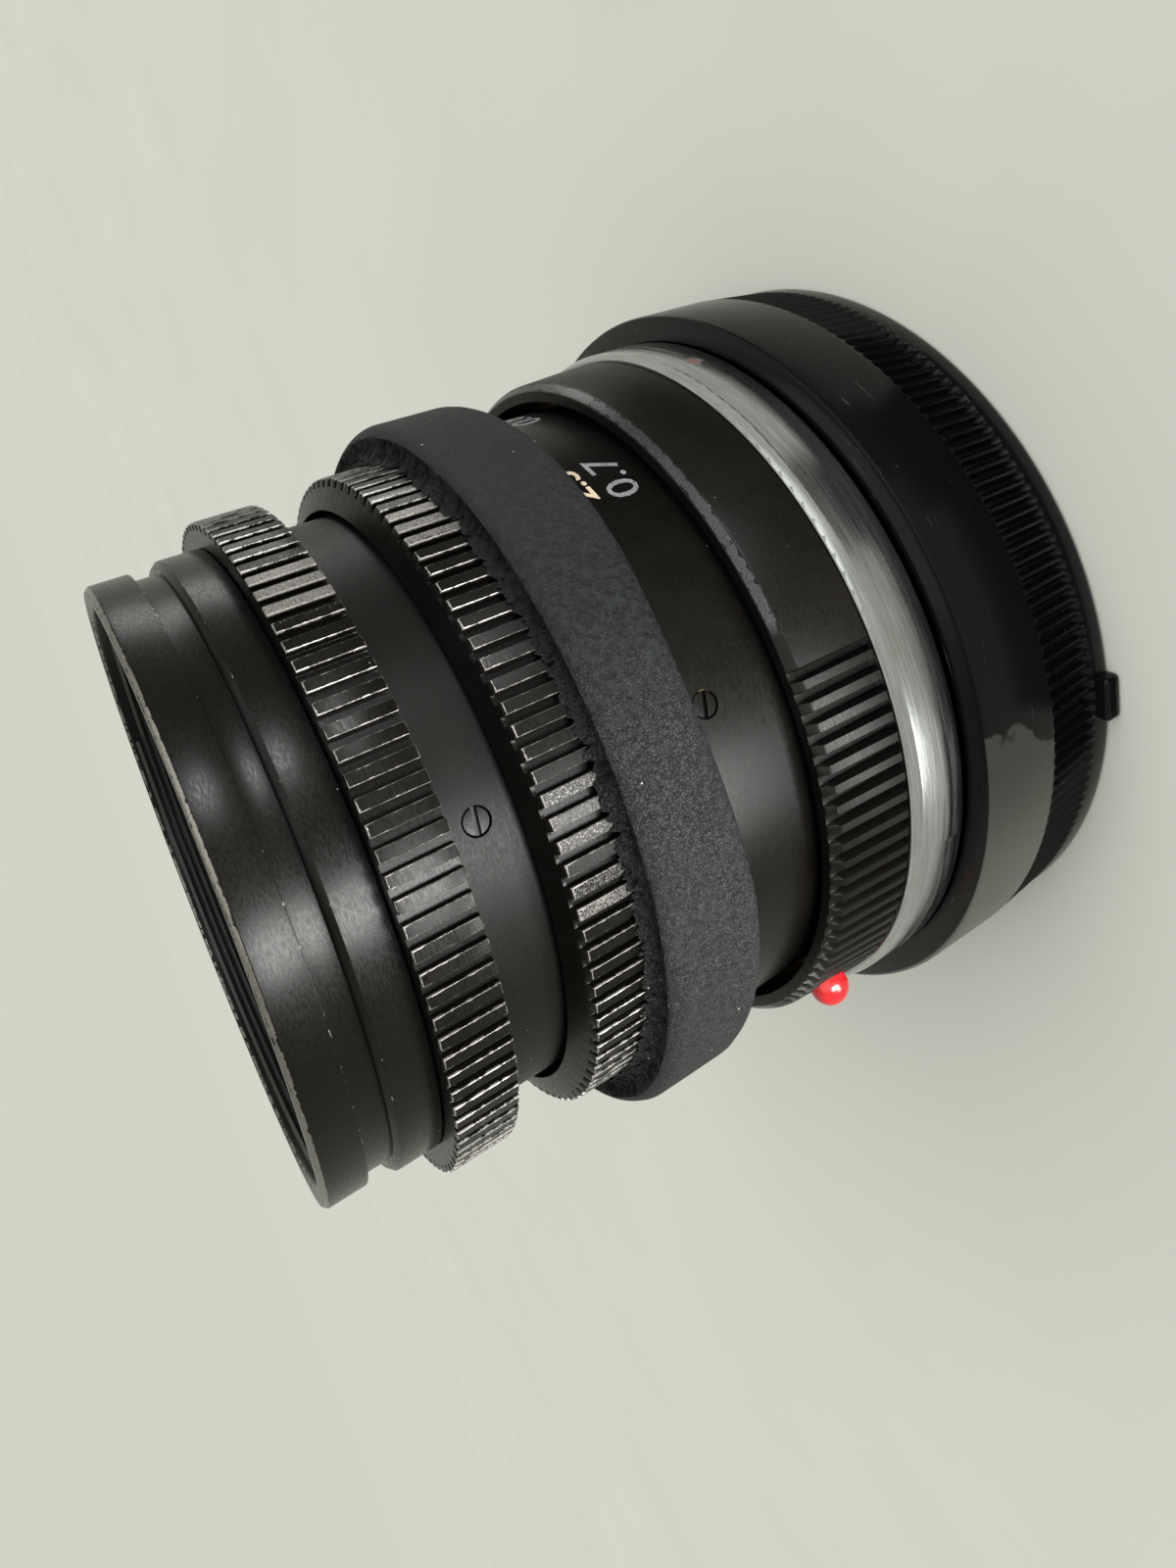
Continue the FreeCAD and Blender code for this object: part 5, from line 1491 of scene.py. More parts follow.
@dataclass
class FocusRing(Assembly):
    """Ribbed focus ring and distance scale, one turned piece with three screws."""

    rib_radius: float = 22.9
    depth: float = 0.55
    scale_radius: float = 23.2
    bore: float = 22.4
    tail: float = 18.4
    ribs_low: float = 33.65
    ribs_high: float = 39.05
    mouth: float = 20.85
    mouth_rise: float = 0.85
    shoulder: float = 33.0
    soft: float = 0.10
    count: int = 108
    groove: float = 0.6
    screw_azimuth: float = 214.2
    screw_height: float = 28.05
    screw_turn: float = -16.0
    screw_inner: float = 21.4

    def build(self) -> None:
        """Makes the ring from one rib repeated round it, and drills it."""
        pitch = 360.0 / self.count
        rib = math.radians(pitch) * self.rib_radius - self.groove
        finish = SatinBlack(
            "focus_ring_black", roughness=0.32, rib_wear=0.62, grain=0.6,
            handled=((261.0, 7.0, 0.48), (203.0, 12.0, 0.34), (84.0, 10.0, 0.45)),
            edges=(WornEdge(self.rib_radius - 0.05, self.ribs_high, 0.09, 0.35),
                   WornEdge(self.mouth, self.ribs_high + self.mouth_rise, 0.05, 0.3)),
            ribs=RibPattern(pitch, pitch / 2, rib, self.rib_radius, self.ribs_low,
                            self.ribs_high))
        slope = self.mouth_rise / (self.rib_radius - self.mouth)
        soft, deep = self.soft, self.depth
        near = self.screw_height
        profile = [
            (self.bore, self.tail, 0.0),
            (self.scale_radius - 0.06, self.tail, 0.0),
            (self.scale_radius, self.tail + 0.06, 0.0),
            (self.scale_radius, near - SCREW_MARGIN, 0.0),
            (self.scale_radius, near, 0.0),
            (self.scale_radius, near + SCREW_MARGIN, 0.0),
            (self.scale_radius, self.ribs_low, 0.0),
            (self.rib_radius, self.ribs_low, deep),
            (self.rib_radius, self.ribs_high - soft, deep),
            (self.rib_radius - soft * 0.3, self.ribs_high - soft * 0.2, deep - soft * 0.3),
            (self.rib_radius - soft, self.ribs_high + soft * slope, deep - soft),
            (self.rib_radius - deep, self.ribs_high + deep * slope, 0.0),
            (self.mouth + 0.05, self.ribs_high + self.mouth_rise - 0.05 * slope, 0.0),
            (self.mouth, self.ribs_high + 0.80, 0.0),
            (self.mouth, self.shoulder, 0.0),
            (self.bore, self.shoulder, 0.0),
        ]
        stations = rib_stations(pitch, rib, self.rib_radius)
        ring = self.ribbed("focus_ring_turned", profile, stations, self.count, pitch / 2,
                           finish)
        places = screw_places(self.screw_azimuth, self.scale_radius, near)
        ring = drill(ring, places, SCREW_HOLE, SCREW_HOLE_LENGTH)
        self.hand_over(ring, Body.FOCUS, Slot.BLACK, ["focus_ring"])
        SlottedScrews(self.finishes, self.repeats, self.pieces).build(
            "focus_screws_turned", ["focus_ring_screws"], Body.FOCUS, self.scale_radius,
            self.screw_azimuth, near, self.screw_turn, self.screw_inner)


@dataclass
class GripBand(Assembly):
    """Rubber band with a rounded back and a torn front edge."""

    low: float = 28.4
    high: float = 36.15
    outer: float = 25.4
    over_ribs: float = 22.95
    over_scale: float = 23.25
    step: float = 33.68
    rear_round: float = 1.5
    front_round: float = 1.25
    pushed: float = 0.95
    pushed_azimuth: float = 215.0
    pushed_width: float = 25.0
    pushed_below: float = 31.4
    lip_radius: float = 24.62
    lip_low: float = 35.3
    torn_lip: tuple[tuple[float, float], ...] = (
        (24.5, 35.42), (24.28, 35.46), (24.06, 35.50), (23.84, 35.56), (23.62, 35.62),
        (23.4, 35.72), (23.2, 35.86), (23.05, 36.02))

    def build(self) -> None:
        """Makes the band, its torn lip and the crumbs on it."""
        outline = [(self.over_scale, self.low)]
        rear, front = self.rear_round, self.front_round
        outline += self.arc(self.outer - rear, self.low + rear, rear, -90, 0, 9)
        outline += [(self.outer, self.low + rear + share * 4.4)
                    for share in (0.2, 0.4, 0.6, 0.8)]
        outline += self.arc(self.outer - front, self.high - 0.5 - front, front, 0, 62, 9)
        outline += [*self.torn_lip, (self.over_ribs, 36.1), (self.over_ribs, 35.0),
                    (self.over_ribs, self.step), (self.over_scale, self.step)]
        band = lathe("grip_band_moulded", plain(outline), 960, 60.0, self.worn)
        self.coat(band, GripRubber("grip_rubber"))
        self.hand_over(band, Body.FOCUS, Slot.RUBBER, ["grip_band"])

    @staticmethod
    def arc(radius: float, height: float, size: float, start: float, end: float,
            steps: int) -> list[tuple[float, float]]:
        """Points along an arc of the band's section.

        Args:
            radius: of the arc's centre.
            height: of the arc's centre.
            size: the arc's own radius.
            start: angle in degrees.
            end: angle in degrees.
            steps: how many points.

        Returns:
            The points.
        """
        points = []
        for step in range(steps):
            angle = math.radians(start + (end - start) * step / (steps - 1))
            points.append((radius + size * math.cos(angle),
                           height + size * math.sin(angle)))
        return points

    def worn(self, point: Vector, azimuth: float) -> Vector:
        """Moves a point of the band as wear and stretch have.

        Args:
            point: in millimetres.
            azimuth: in radians.

        Returns:
            The moved point.
        """
        radius = math.hypot(point.x, point.y)
        height = point.z
        out = Vector((math.cos(azimuth), math.sin(azimuth), 0.0))
        away = (math.degrees(azimuth) % 360.0 - self.pushed_azimuth) / self.pushed_width
        rear = min(1.0, max(0.0, (self.pushed_below - height) / 2.0))
        height += self.pushed * rear * math.exp(-away * away)
        if radius > self.over_scale + 0.3:
            wave = noise.noise(point * 0.22) * 0.05 + noise.noise(point * 1.1) * 0.018
            radius += wave - 0.03
        lip = min(1.0, max(0.0, (self.lip_radius - radius) / 0.5))
        if lip > 0 and height > self.lip_low:
            coarse = noise.noise(Vector((azimuth * 9.0, 3.1, height * 0.4)))
            middle = noise.noise(Vector((azimuth * 34.0, 7.7, height)))
            small = noise.noise(Vector((azimuth * 95.0, radius * 4.0, height * 4.0)))
            height -= lip * (0.02 + 0.30 * coarse + 0.75 * abs(middle) + 0.45 * small)
            radius += lip * (0.15 * middle + 0.25 * small)
            radius = max(radius, self.over_ribs)
        return Vector((out.x * radius, out.y * radius, min(height, self.high)))


@dataclass
class MountCollar(Assembly):
    """Fixed collar with a worn chamfer and two sectors of ribs."""

    low: float = 17.3
    high: float = 23.2
    rear_radius: float = 25.6
    front_radius: float = 25.3
    lip: float = 24.75
    bore: float = 24.0
    rear_bore: float = 24.45
    shoulder: float = 18.1
    chamfer: float = 0.6
    floor: float = 24.7
    pitch: float = 3.0
    grooves: int = 23
    groove: float = 0.62
    bead_azimuth: float = 150.0
    bead_height: float = 20.4
    bead_radius: float = 1.35
    bead_stem: float = 1.05
    bead_seat: float = 24.56

    def profile(self) -> list[Corner]:
        """The collar's section, with the groove's depth at each corner."""
        chamfer = self.high - self.chamfer
        grooved = [
            (self.rear_radius - 0.06, self.low),
            (self.rear_radius, self.low + 0.06),
            (self.front_radius + 0.02, chamfer - 0.1),
            (self.front_radius - 0.03, chamfer),
            (self.front_radius - 0.08, chamfer + 0.07),
            (self.lip + 0.08, self.high - 0.07),
            (self.lip + 0.03, self.high - 0.02),
        ]
        return [
            (self.rear_bore, self.low, 0.0),
            (self.floor, self.low, 0.0),
            *((radius, height, radius - self.floor) for radius, height in grooved),
            (self.floor - 0.02, self.high, 0.0),
            (self.bore + 0.06, self.high, 0.0),
            (self.bore, self.high - 0.06, 0.0),
            (self.bore, self.shoulder, 0.0),
            (self.rear_bore, self.shoulder, 0.0),
        ]

    def build(self) -> None:
        """Makes the collar from grooved and plain segments, and seats the bead."""
        half = math.degrees(self.groove / 2 / self.front_radius)
        soft = math.degrees(0.09 / self.front_radius)
        flank = [(0.0, 1.0), (half - soft, 1.0), (half - soft * 0.3, 0.86),
                 (half + soft * 0.3, 0.22), (half + soft, 0.0), (self.pitch / 2, 0.0)]
        stations = [(-azimuth, share) for azimuth, share in reversed(flank[1:])] + flank
        smooth_stations = [(step * self.pitch / 4 - self.pitch / 2, 0.0)
                           for step in range(5)]
        grooved = segment("collar_groove", self.profile(), stations)
        blank = segment("collar_blank", self.profile(), smooth_stations)
        worn = SatinBlack(
            "collar_black", roughness=0.36, gloss=0.09, bare=(0.055, 0.056, 0.057),
            edges=(*(WornEdge(self.front_radius - 0.25, self.high - 0.32, 0.27, 1.12, side,
                              50) for side in (270, 90)),
                   WornEdge(self.front_radius, self.high - self.chamfer, 0.12, 0.24),
                   WornEdge(self.lip, self.high, 0.10, 0.34),
                   WornEdge(self.rear_radius, self.low, 0.05, 0.3)))
        finish = self.finishes.get(worn)
        span = (self.grooves - 1) * self.pitch
        rest = round((180 - span) / self.pitch) - 1
        parts = []
        for index, middle in enumerate((180.0, 0.0)):
            parts.append(self.repeats.repeat(f"collar_ribs_{index}", grooved, self.grooves,
                                             middle - span / 2, self.pitch, finish))
            parts.append(self.repeats.repeat(f"collar_plain_{index}", blank, rest,
                                             middle + span / 2 + self.pitch, self.pitch,
                                             finish))
        for unit in (grooved, blank):
            bpy.data.objects.remove(unit)
        collar = merge_pieces("mount_collar_turned", parts, finish)
        seat = radial_matrix(self.bead_azimuth, 25.9, self.bead_height)
        collar = drill(collar, [seat], self.bead_radius + 0.05, 2.9)
        self.hand_over(collar, Body.MOUNT, Slot.COLLAR, ["mount_collar"])
        bead = lathe("alignment_bead_turned", self.bead_section(), 64, 40.0)
        bead.data.transform(radial_matrix(self.bead_azimuth, self.bead_seat,
                                          self.bead_height))
        self.coat(bead, Lacquer("bead_red", (0.30, 0.005, 0.007), 0.16))
        self.hand_over(bead, Body.MOUNT, Slot.BEAD, ["alignment_bead"])

    def bead_section(self, steps: int = 12) -> list[Corner]:
        """Half section of the bead: a stem with a round top.

        Args:
            steps: points along the round top.

        Returns:
            The section's corners.
        """
        radius, stem = self.bead_radius, self.bead_stem
        points = [(0.0, 0.0), (radius - 0.05, 0.0), (radius, 0.05), (radius, stem)]
        for step in range(1, steps + 1):
            angle = math.radians(90 * step / steps)
            points.append((radius * math.cos(angle) if step < steps else 0.0,
                           stem + radius * math.sin(angle)))
        return plain(points)


@dataclass
class BayonetFlange(Assembly):
    """Chromed ring between the collar and the rear cap."""

    radius: float = 26.1
    low: float = 12.8
    high: float = 17.3
    inner: float = 25.2
    skin: float = 0.006

    def build(self) -> None:
        """Makes the visible ring and keeps the solid for the bayonet behind it."""
        chrome = SatinChrome("flange_chrome")
        self.coat_node("bayonet_flange", chrome)
        profile = rounded(plain([
            (self.inner, self.low + 0.25), (self.radius - 0.25, self.low),
            (self.radius, self.low + 0.25), (self.radius, self.high - 0.75),
            (self.radius - 0.35, self.high - 0.02), (self.inner, self.high - 0.02)]), 0.1,
                          4)
        profile = [(radius + self.skin if radius > self.inner + 0.3 else radius, height,
                    0.0) for radius, height, _ in profile]
        skin = lathe("flange_skin", profile, 384, 40.0)
        self.coat(skin, chrome)
        for ring in (skin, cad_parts["bayonet_flange"]):
            spare(ring)
            bpy.data.collections[CHROME_ONLY].objects.link(ring)
        self.hand_over(skin, Body.MOUNT, Slot.CHROME)


@dataclass
class RearCap(Assembly):
    """Moulded cap with fine ribs round its foot."""

    foot: float = 27.6
    radius: float = 28.0
    foot_height: float = 1.65
    grip_top: float = 6.5
    top: float = 12.6
    count: int = 188
    depth: float = 0.55
    socket: float = 22.1
    claw: float = 21.05
    claw_low: float = 11.3
    way_in: float = 25.0
    tab_azimuth: float = 191.6
    tab_size: tuple[float, float, float] = (1.8, 3.2, 1.4)
    tab_radius: float = 27.5
    tab_round: float = 0.35

    def profile(self) -> list[Corner]:
        """The outer wall's section, with the groove's depth at each corner."""
        deep = self.depth
        slope = (self.radius - self.foot) / (self.grip_top - self.foot_height)

        def at(height: float) -> float:
            """Radius of the ribs' tops at a height."""
            return self.foot + (height - self.foot_height) * slope

        low, high = self.foot_height, self.grip_top
        corners = [(26.0, 1.4, 0.0), (24.6, 0.6, 0.0), (24.6, 0.0, 0.0),
                   (self.foot - 0.5, 0.0, 0.0), (self.foot - 0.25, 0.06, 0.0),
                   (self.foot - 0.06, 0.25, 0.0), (self.foot, 0.5, 0.0),
                   (self.foot, low - 0.05, 0.0), (self.foot - 0.01, low, 0.0),
                   (at(low + 0.15), low + 0.15, deep * 0.25),
                   (at(low + 0.4), low + 0.4, deep * 0.75),
                   (at(low + 0.8), low + 0.8, deep)]
        corners += [(at(high - 0.5), high - 0.5, deep),
                    (at(high - 0.25), high - 0.25, deep * 0.8),
                    (at(high - 0.08), high - 0.08, deep * 0.35), (self.radius, high, 0.0),
                    (self.radius, high + 0.12, 0.0), (self.radius, self.top - 0.3, 0.0),
                    (self.radius - 0.08, self.top - 0.1, 0.0),
                    (self.radius - 0.3, self.top, 0.0), (26.1, self.top, 0.0),
                    (26.0, self.top - 0.1, 0.0)]
        return corners

    def build(self) -> None:
        """Makes the outer wall with its ribs, the back wall with its socket and the tab,
        which stand in for the cap's solid.
        """
        plastic = MouldedPlastic("cap_plastic")
        finish = self.finishes.get(plastic)
        self.coat_node("rear_cap", plastic)
        pitch = 360.0 / self.count
        stations = []
        for step in range(-5, 6):
            share = step / 5
            cut = 0.5 - 0.5 * math.cos(math.pi * min(1.0, abs(share) * 1.15))
            stations.append((share * pitch / 2, cut))
        wall = self.ribbed("rear_cap_wall", self.profile(), stations, self.count, 0.0,
                           plastic, 40.0)
        inner = self.inner_part(finish)
        tab = self.tab(finish)
        for part, nodes in ((wall, ["rear_cap"]), (inner, ()), (tab, ())):
            spare(part)
            self.hand_over(part, Body.CAP, Slot.CAP, nodes)

    def inner_part(self, finish: bpy.types.Material) -> bpy.types.Object:
        """The cap's back wall and its clawed socket.

        Args:
            finish: the material.

        Returns:
            The piece.
        """
        shell = bmesh.new()
        steps = 288
        floor = [(0.0, 0.0), (24.6, 0.0), (24.6, 0.6), (26.0, 1.4), (23.5, 1.4),
                 (23.5, self.top - 0.1), (23.4, self.top)]
        claw = [(self.claw + 0.1, self.top), (self.claw, self.top - 0.1),
                (self.claw, self.claw_low + 0.1), (self.claw + 0.1, self.claw_low),
                (self.socket, self.claw_low), (self.socket, 1.4), (0.0, 1.4)]
        rows = []
        for step in range(steps):
            azimuth = 360.0 * step / steps
            way_in = abs((azimuth + 45.0) % 90.0 - 45.0) < self.way_in
            row = []
            for radius, height in floor + claw:
                if way_in and self.claw - 0.05 < radius < self.socket - 0.1:
                    radius = self.socket + (radius - self.claw) * 0.2
                point = around(radius, math.radians(azimuth), height)
                row.append(shell.verts.new(in_metres(point)))
            rows.append(row)
        skin_over(shell, rows)
        bmesh.ops.dissolve_degenerate(shell, edges=shell.edges, dist=SLIVER)
        piece = finish_mesh("rear_cap_socket", shell)
        piece.data.materials.append(finish)
        return piece

    def tab(self, finish: bpy.types.Material) -> bpy.types.Object:
        """The index tab on the cap's foot.

        Args:
            finish: the material.

        Returns:
            The piece.
        """
        shell = bmesh.new()
        size = Matrix.Diagonal((*in_metres(self.tab_size), 1.0))
        centre = Matrix.Translation(in_metres((self.tab_radius, 0.0,
                                               self.tab_size[2] / 2)))
        bmesh.ops.create_cube(shell, size=1.0, matrix=centre @ size)
        bmesh.ops.bevel(shell, geom=shell.edges[:], offset=self.tab_round * MM,
                        segments=4, affect="EDGES", profile=0.5)
        bmesh.ops.rotate(shell, verts=shell.verts, cent=(0, 0, 0),
                         matrix=Matrix.Rotation(math.radians(self.tab_azimuth), 3, "Z"))
        piece = finish_mesh("rear_cap_tab", shell, 40.0)
        piece.data.materials.append(finish)
        return piece


@dataclass
class Optics(Assembly):
    """The six glass elements with smooth surfaces, and what holds them."""

    front: float = 55.0

    def element(self, node: str, rim: float, upper: tuple[float, float, float],
                lower: tuple[float, float, float], film: float) -> None:
        """Makes one element.

        Args:
            node: the solid that it stands for.
            rim: radius of its rim, in millimetres.
            upper: vertex height, curve radius and clear radius of the front surface; the
                curve is negative where the edge stands higher than the middle.
            lower: the same for the rear surface.
            film: thickness of the coating in nanometres.
        """
        points: list[tuple[float, float]] = []
        steps = 24
        for (vertex, curve, clear), outward in ((lower, True), (upper, False)):
            surface = []
            for step in range(steps + 1):
                radius = clear * step / steps
                drop = abs(curve) - math.sqrt(curve * curve - radius * radius)
                surface.append((radius, vertex - math.copysign(drop, curve)))
            if clear < rim:
                surface.append((rim, surface[-1][1]))
            points += surface if outward else list(reversed(surface))
        glass = lathe(f"{node}_polished", plain(points), 160, 35.0)
        self.coat(glass, CoatedGlass(f"{node}_glass", film))
        self.hand_over(glass, Body.HEAD, Slot.GLASS, [node])

    def build(self) -> None:
        """Makes all six elements and dresses their holders."""
        front = self.front
        one, two, three = front - 4.2, front - 7.7, front - 10.92
        four, five, six = front - 24.5, front - 25.72, front - 30.62
        for order, rim, upper, lower, film in (
                ("front", 13.2, (one, 30.0, 13.2), (one - 3.2, 100.0, 13.2), 300),
                ("second", 11.0, (two, 19.0, 11.0), (two - 3.2, 60.0, 11.0), 350),
                ("third", 11.0, (three, 60.0, 11.0), (three - 1.3, 12.5, 9.2), 260),
                ("fourth", 10.4, (four, -11.5, 8.6), (four - 1.2, 150.0, 10.4), 350),
                ("fifth", 10.4, (five, 150.0, 10.4), (five - 4.4, -18.5, 10.4), 300),
                ("sixth", 10.4, (six, 80.0, 10.4), (six - 3.4, -34.0, 10.4), 270)):
            self.element(f"{order}_element", rim, upper, lower, film)
        trim = lathe("trim_ring_turned", rounded(plain([
            (13.6, 50.45), (18.45, 50.45), (18.45, 51.5), (13.6, 50.7)]), 0.05), 256)
        self.coat(trim, SatinBlack("trim_black", roughness=0.42, grain=0.6,
                                   edges=(WornEdge(13.62, 50.68, 0.05, 0.4),)))
        self.hand_over(trim, Body.HEAD, Slot.INNER, ["trim_ring"])
        matt = MattBlack("inner_matt_black")
        for node in ("front_cell", "front_group_ring", "front_doublet_ring", "head_tube",
                     "iris_base_ring", "iris_control_ring", "rear_cell",
                     "rear_group_spacer", "rear_group_ring"):
            self.coat_node(node, matt)
        leaf = SatinBlack("iris_leaf", (0.016, 0.016, 0.018), 0.3, 0.4, 0.3,
                          (0.30, 0.30, 0.31), specks=0.0,
                          edges=(WornEdge(10.9, 36.5, 0.9, 0.3),))
        for number in range(1, 9):
            self.coat_node(f"iris_blade_{number}", leaf)


@dataclass
class Works(Assembly):
    """Helicoids, cam, key and hidden screws: solids that keep their shape."""

    def build(self) -> None:
        """Gives each of them its metal."""
        brass = TurnedMetal("helicoid_brass", (0.60, 0.44, 0.19), (0.36, 0.25, 0.11))
        cam = TurnedMetal("cam_brass", (0.66, 0.50, 0.24), (0.42, 0.30, 0.13), 0.24)
        steel = TurnedMetal("turned_steel", (0.56, 0.55, 0.53), (0.33, 0.31, 0.28), 0.28)
        for node, finish in (("focus_helicoid", brass), ("outer_helicoid", brass),
                             ("rangefinder_cam", cam), ("guide_key", steel),
                             ("guide_key_screws", steel), ("flange_screws", steel),
                             ("aperture_drive_screw", steel), ("click_ball", steel)):
            self.coat_node(node, finish)


@dataclass
class Markings(Assembly):
    """Engraved and filled numbers and index marks."""

    metres: tuple[str, ...] = ("0.7", "0.8", "0.9", "1", "1.2", "1.5", "2", "3", "5", "10")
    feet: tuple[str, ...] = ("2.3", "2.5", "3", "4", "5", "7", "10", "15", "30")
    stops: tuple[str, ...] = ("2", "2.8", "4", "5.6", "8", "11", "16")
    depths: tuple[tuple[str, float], ...] = (("4", 7.0), ("8", 14.0), ("16", 27.0))
    index: float = 90.0
    first_stop: float = 60.0
    stop_pitch: float = 10.0
    scale_radius: float = 23.2
    metre_height: float = 25.3
    metre_size: float = 2.2
    feet_height: float = 28.0
    feet_size: float = 1.8
    small_size: float = 1.5
    aside: float = 1.4
    foot: float = 0.3048

    @staticmethod
    def turn(distance: float) -> float:
        """How far the focus ring turns from infinity to a distance.

        Args:
            distance: in metres.

        Returns:
            The angle in degrees.
        """
        return 107.25 / (distance - 0.15)

    def text(self, name: str, words: str, size: float, radius: float, azimuth: float,
             height: float, weight: float = 0.03, stretch: float = 1.14
             ) -> bpy.types.Object:
        """Lays words on a cylinder, upright towards the front.

        Args:
            name: the piece's name.
            words: what it says.
            size: height of the letters, in millimetres.
            radius: of the surface, in millimetres.
            azimuth: of the words' middle, in degrees.
            height: of the words' middle, in millimetres.
            weight: how much bolder than the font, in millimetres.
            stretch: how much wider than the font.

        Returns:
            The words as a closed mesh.
        """
        curve = bpy.data.curves.new(name, "FONT")
        curve.body = words
        curve.size = size * 1.40
        curve.align_x = "CENTER"
        curve.offset = weight
        curve.extrude = 0.012
        curve.resolution_u = 3
        holder = bpy.data.objects.new(name, curve)
        bpy.context.scene.collection.objects.link(holder)
        bpy.context.view_layer.update()
        view = bpy.context.evaluated_depsgraph_get()
        mesh = bpy.data.meshes.new_from_object(holder.evaluated_get(view))
        bpy.data.objects.remove(holder)
        heights = [vertex.co.y for vertex in mesh.vertices]
        middle = (max(heights) + min(heights)) / 2
        for vertex in mesh.vertices:
            angle = math.radians(azimuth) + vertex.co.x * stretch / radius
            reach = radius + vertex.co.z + 0.004
            vertex.co = in_metres(around(reach, angle, height + vertex.co.y - middle))
        mesh.shade_flat()
        return new_object(name, mesh)

    def line(self, name: str, width: float, radius: float, azimuth: float, low: float,
             high: float) -> bpy.types.Object:
        """Lays an index line along a cylinder.

        Args:
            name: the piece's name.
            width: in millimetres.
            radius: of the surface, in millimetres.
            azimuth: in degrees.
            low: height of its lower end, in millimetres.
            high: height of its upper end, in millimetres.

        Returns:
            The line as a closed mesh.
        """
        return block(name, (high - low, width, 0.03),
                     radial_matrix(azimuth, radius, (low + high) / 2))

    def gather(self, name: str, parts: Sequence[bpy.types.Object], finish: object,
               body: Body) -> None:
        """Joins marks of one colour on one body into a piece."""
        shell = bmesh.new()
        for part in parts:
            shell.from_mesh(part.data)
            bpy.data.objects.remove(part)
        piece = new_object(name, mesh_of(name, shell))
        self.coat(piece, finish)
        self.hand_over(piece, body)

    def build(self) -> None:
        """Makes the distance, depth and aperture scales."""
        cream = Lacquer("mark_cream", (0.62, 0.56, 0.42), 0.45, 0.25)
        grey = Lacquer("mark_grey", (0.13, 0.125, 0.137), 0.5, 0.55)
        gold = Lacquer("mark_gold", (0.34, 0.28, 0.20), 0.5, 0.45)
        index = self.index
        metres, feet = [], []
        for words in self.metres:
            azimuth = index - self.aside - self.turn(float(words))
            metres.append(self.text(f"metres_{words}", words, self.metre_size,
                                    self.scale_radius, azimuth, self.metre_height, 0.005))
        for words in self.feet:
            azimuth = index - self.aside - self.turn(float(words) * self.foot)
            feet.append(self.text(f"feet_{words}", words, self.feet_size,
                                  self.scale_radius, azimuth, self.feet_height))
        metres.append(self.text("metres_far", "∞", 2.0, self.scale_radius, index,
                                self.metre_height))
        self.gather("metre_scale", metres, grey, Body.FOCUS)
        self.gather("feet_scale", feet, gold, Body.FOCUS)
        depth = [self.line("focus_index", 0.3, 25.5, index, 18.2, 22.4)]
        for number, turn in self.depths:
            for side in (-1, 1):
                azimuth = index + side * turn
                depth.append(self.text(f"depth_{number}_{side}", number,
                                       self.small_size, 25.52, azimuth, 19.0))
                depth.append(self.line(f"depth_line_{number}_{side}", 0.18, 25.42, azimuth,
                                       20.4, 22.4))
        self.gather("depth_scale", depth, cream, Body.MOUNT)
        stops = [self.text(f"stop_{number}", number, self.small_size, 20.35,
                           self.first_stop + step * self.stop_pitch, 41.9)
                 for step, number in enumerate(self.stops)]
        self.gather("stop_scale", stops, cream, Body.HEAD)
        dot = self.line("stop_index", 0.35, 22.52, self.first_stop, 44.3, 45.0)
        self.gather("stop_index_mark", [dot], cream, Body.APERTURE)


# ---- Studio ----


@dataclass(frozen=True)
class Lamp:
    """A soft rectangular lamp that stands round the lens and faces its axis."""

    name: str
    azimuth: float
    distance: float
    height: float
    width: float
    tall: float
    power: float
    aim: float = 0.03
    lights: str = SPARED
    tint: Colour = (1.0, 0.985, 0.96)

    def light(self) -> None:
        """Puts the lamp into the scene, with the collection that says what it lights."""
        data = bpy.data.lights.new(self.name, "AREA")
        data.shape = "RECTANGLE"
        data.size, data.size_y = self.width, self.tall
        data.energy = self.power
        data.color = self.tint
        lamp = bpy.data.objects.new(self.name, data)
        lamp.location = around(self.distance, math.radians(self.azimuth), self.height)
        aim = Vector((0.0, 0.0, self.aim)) - lamp.location
        lamp.rotation_euler = aim.to_track_quat("-Z", "Y").to_euler()
        lamp.visible_camera = False
        lamp.light_linking.receiver_collection = bpy.data.collections[self.lights]
        bpy.context.scene.collection.objects.link(lamp)


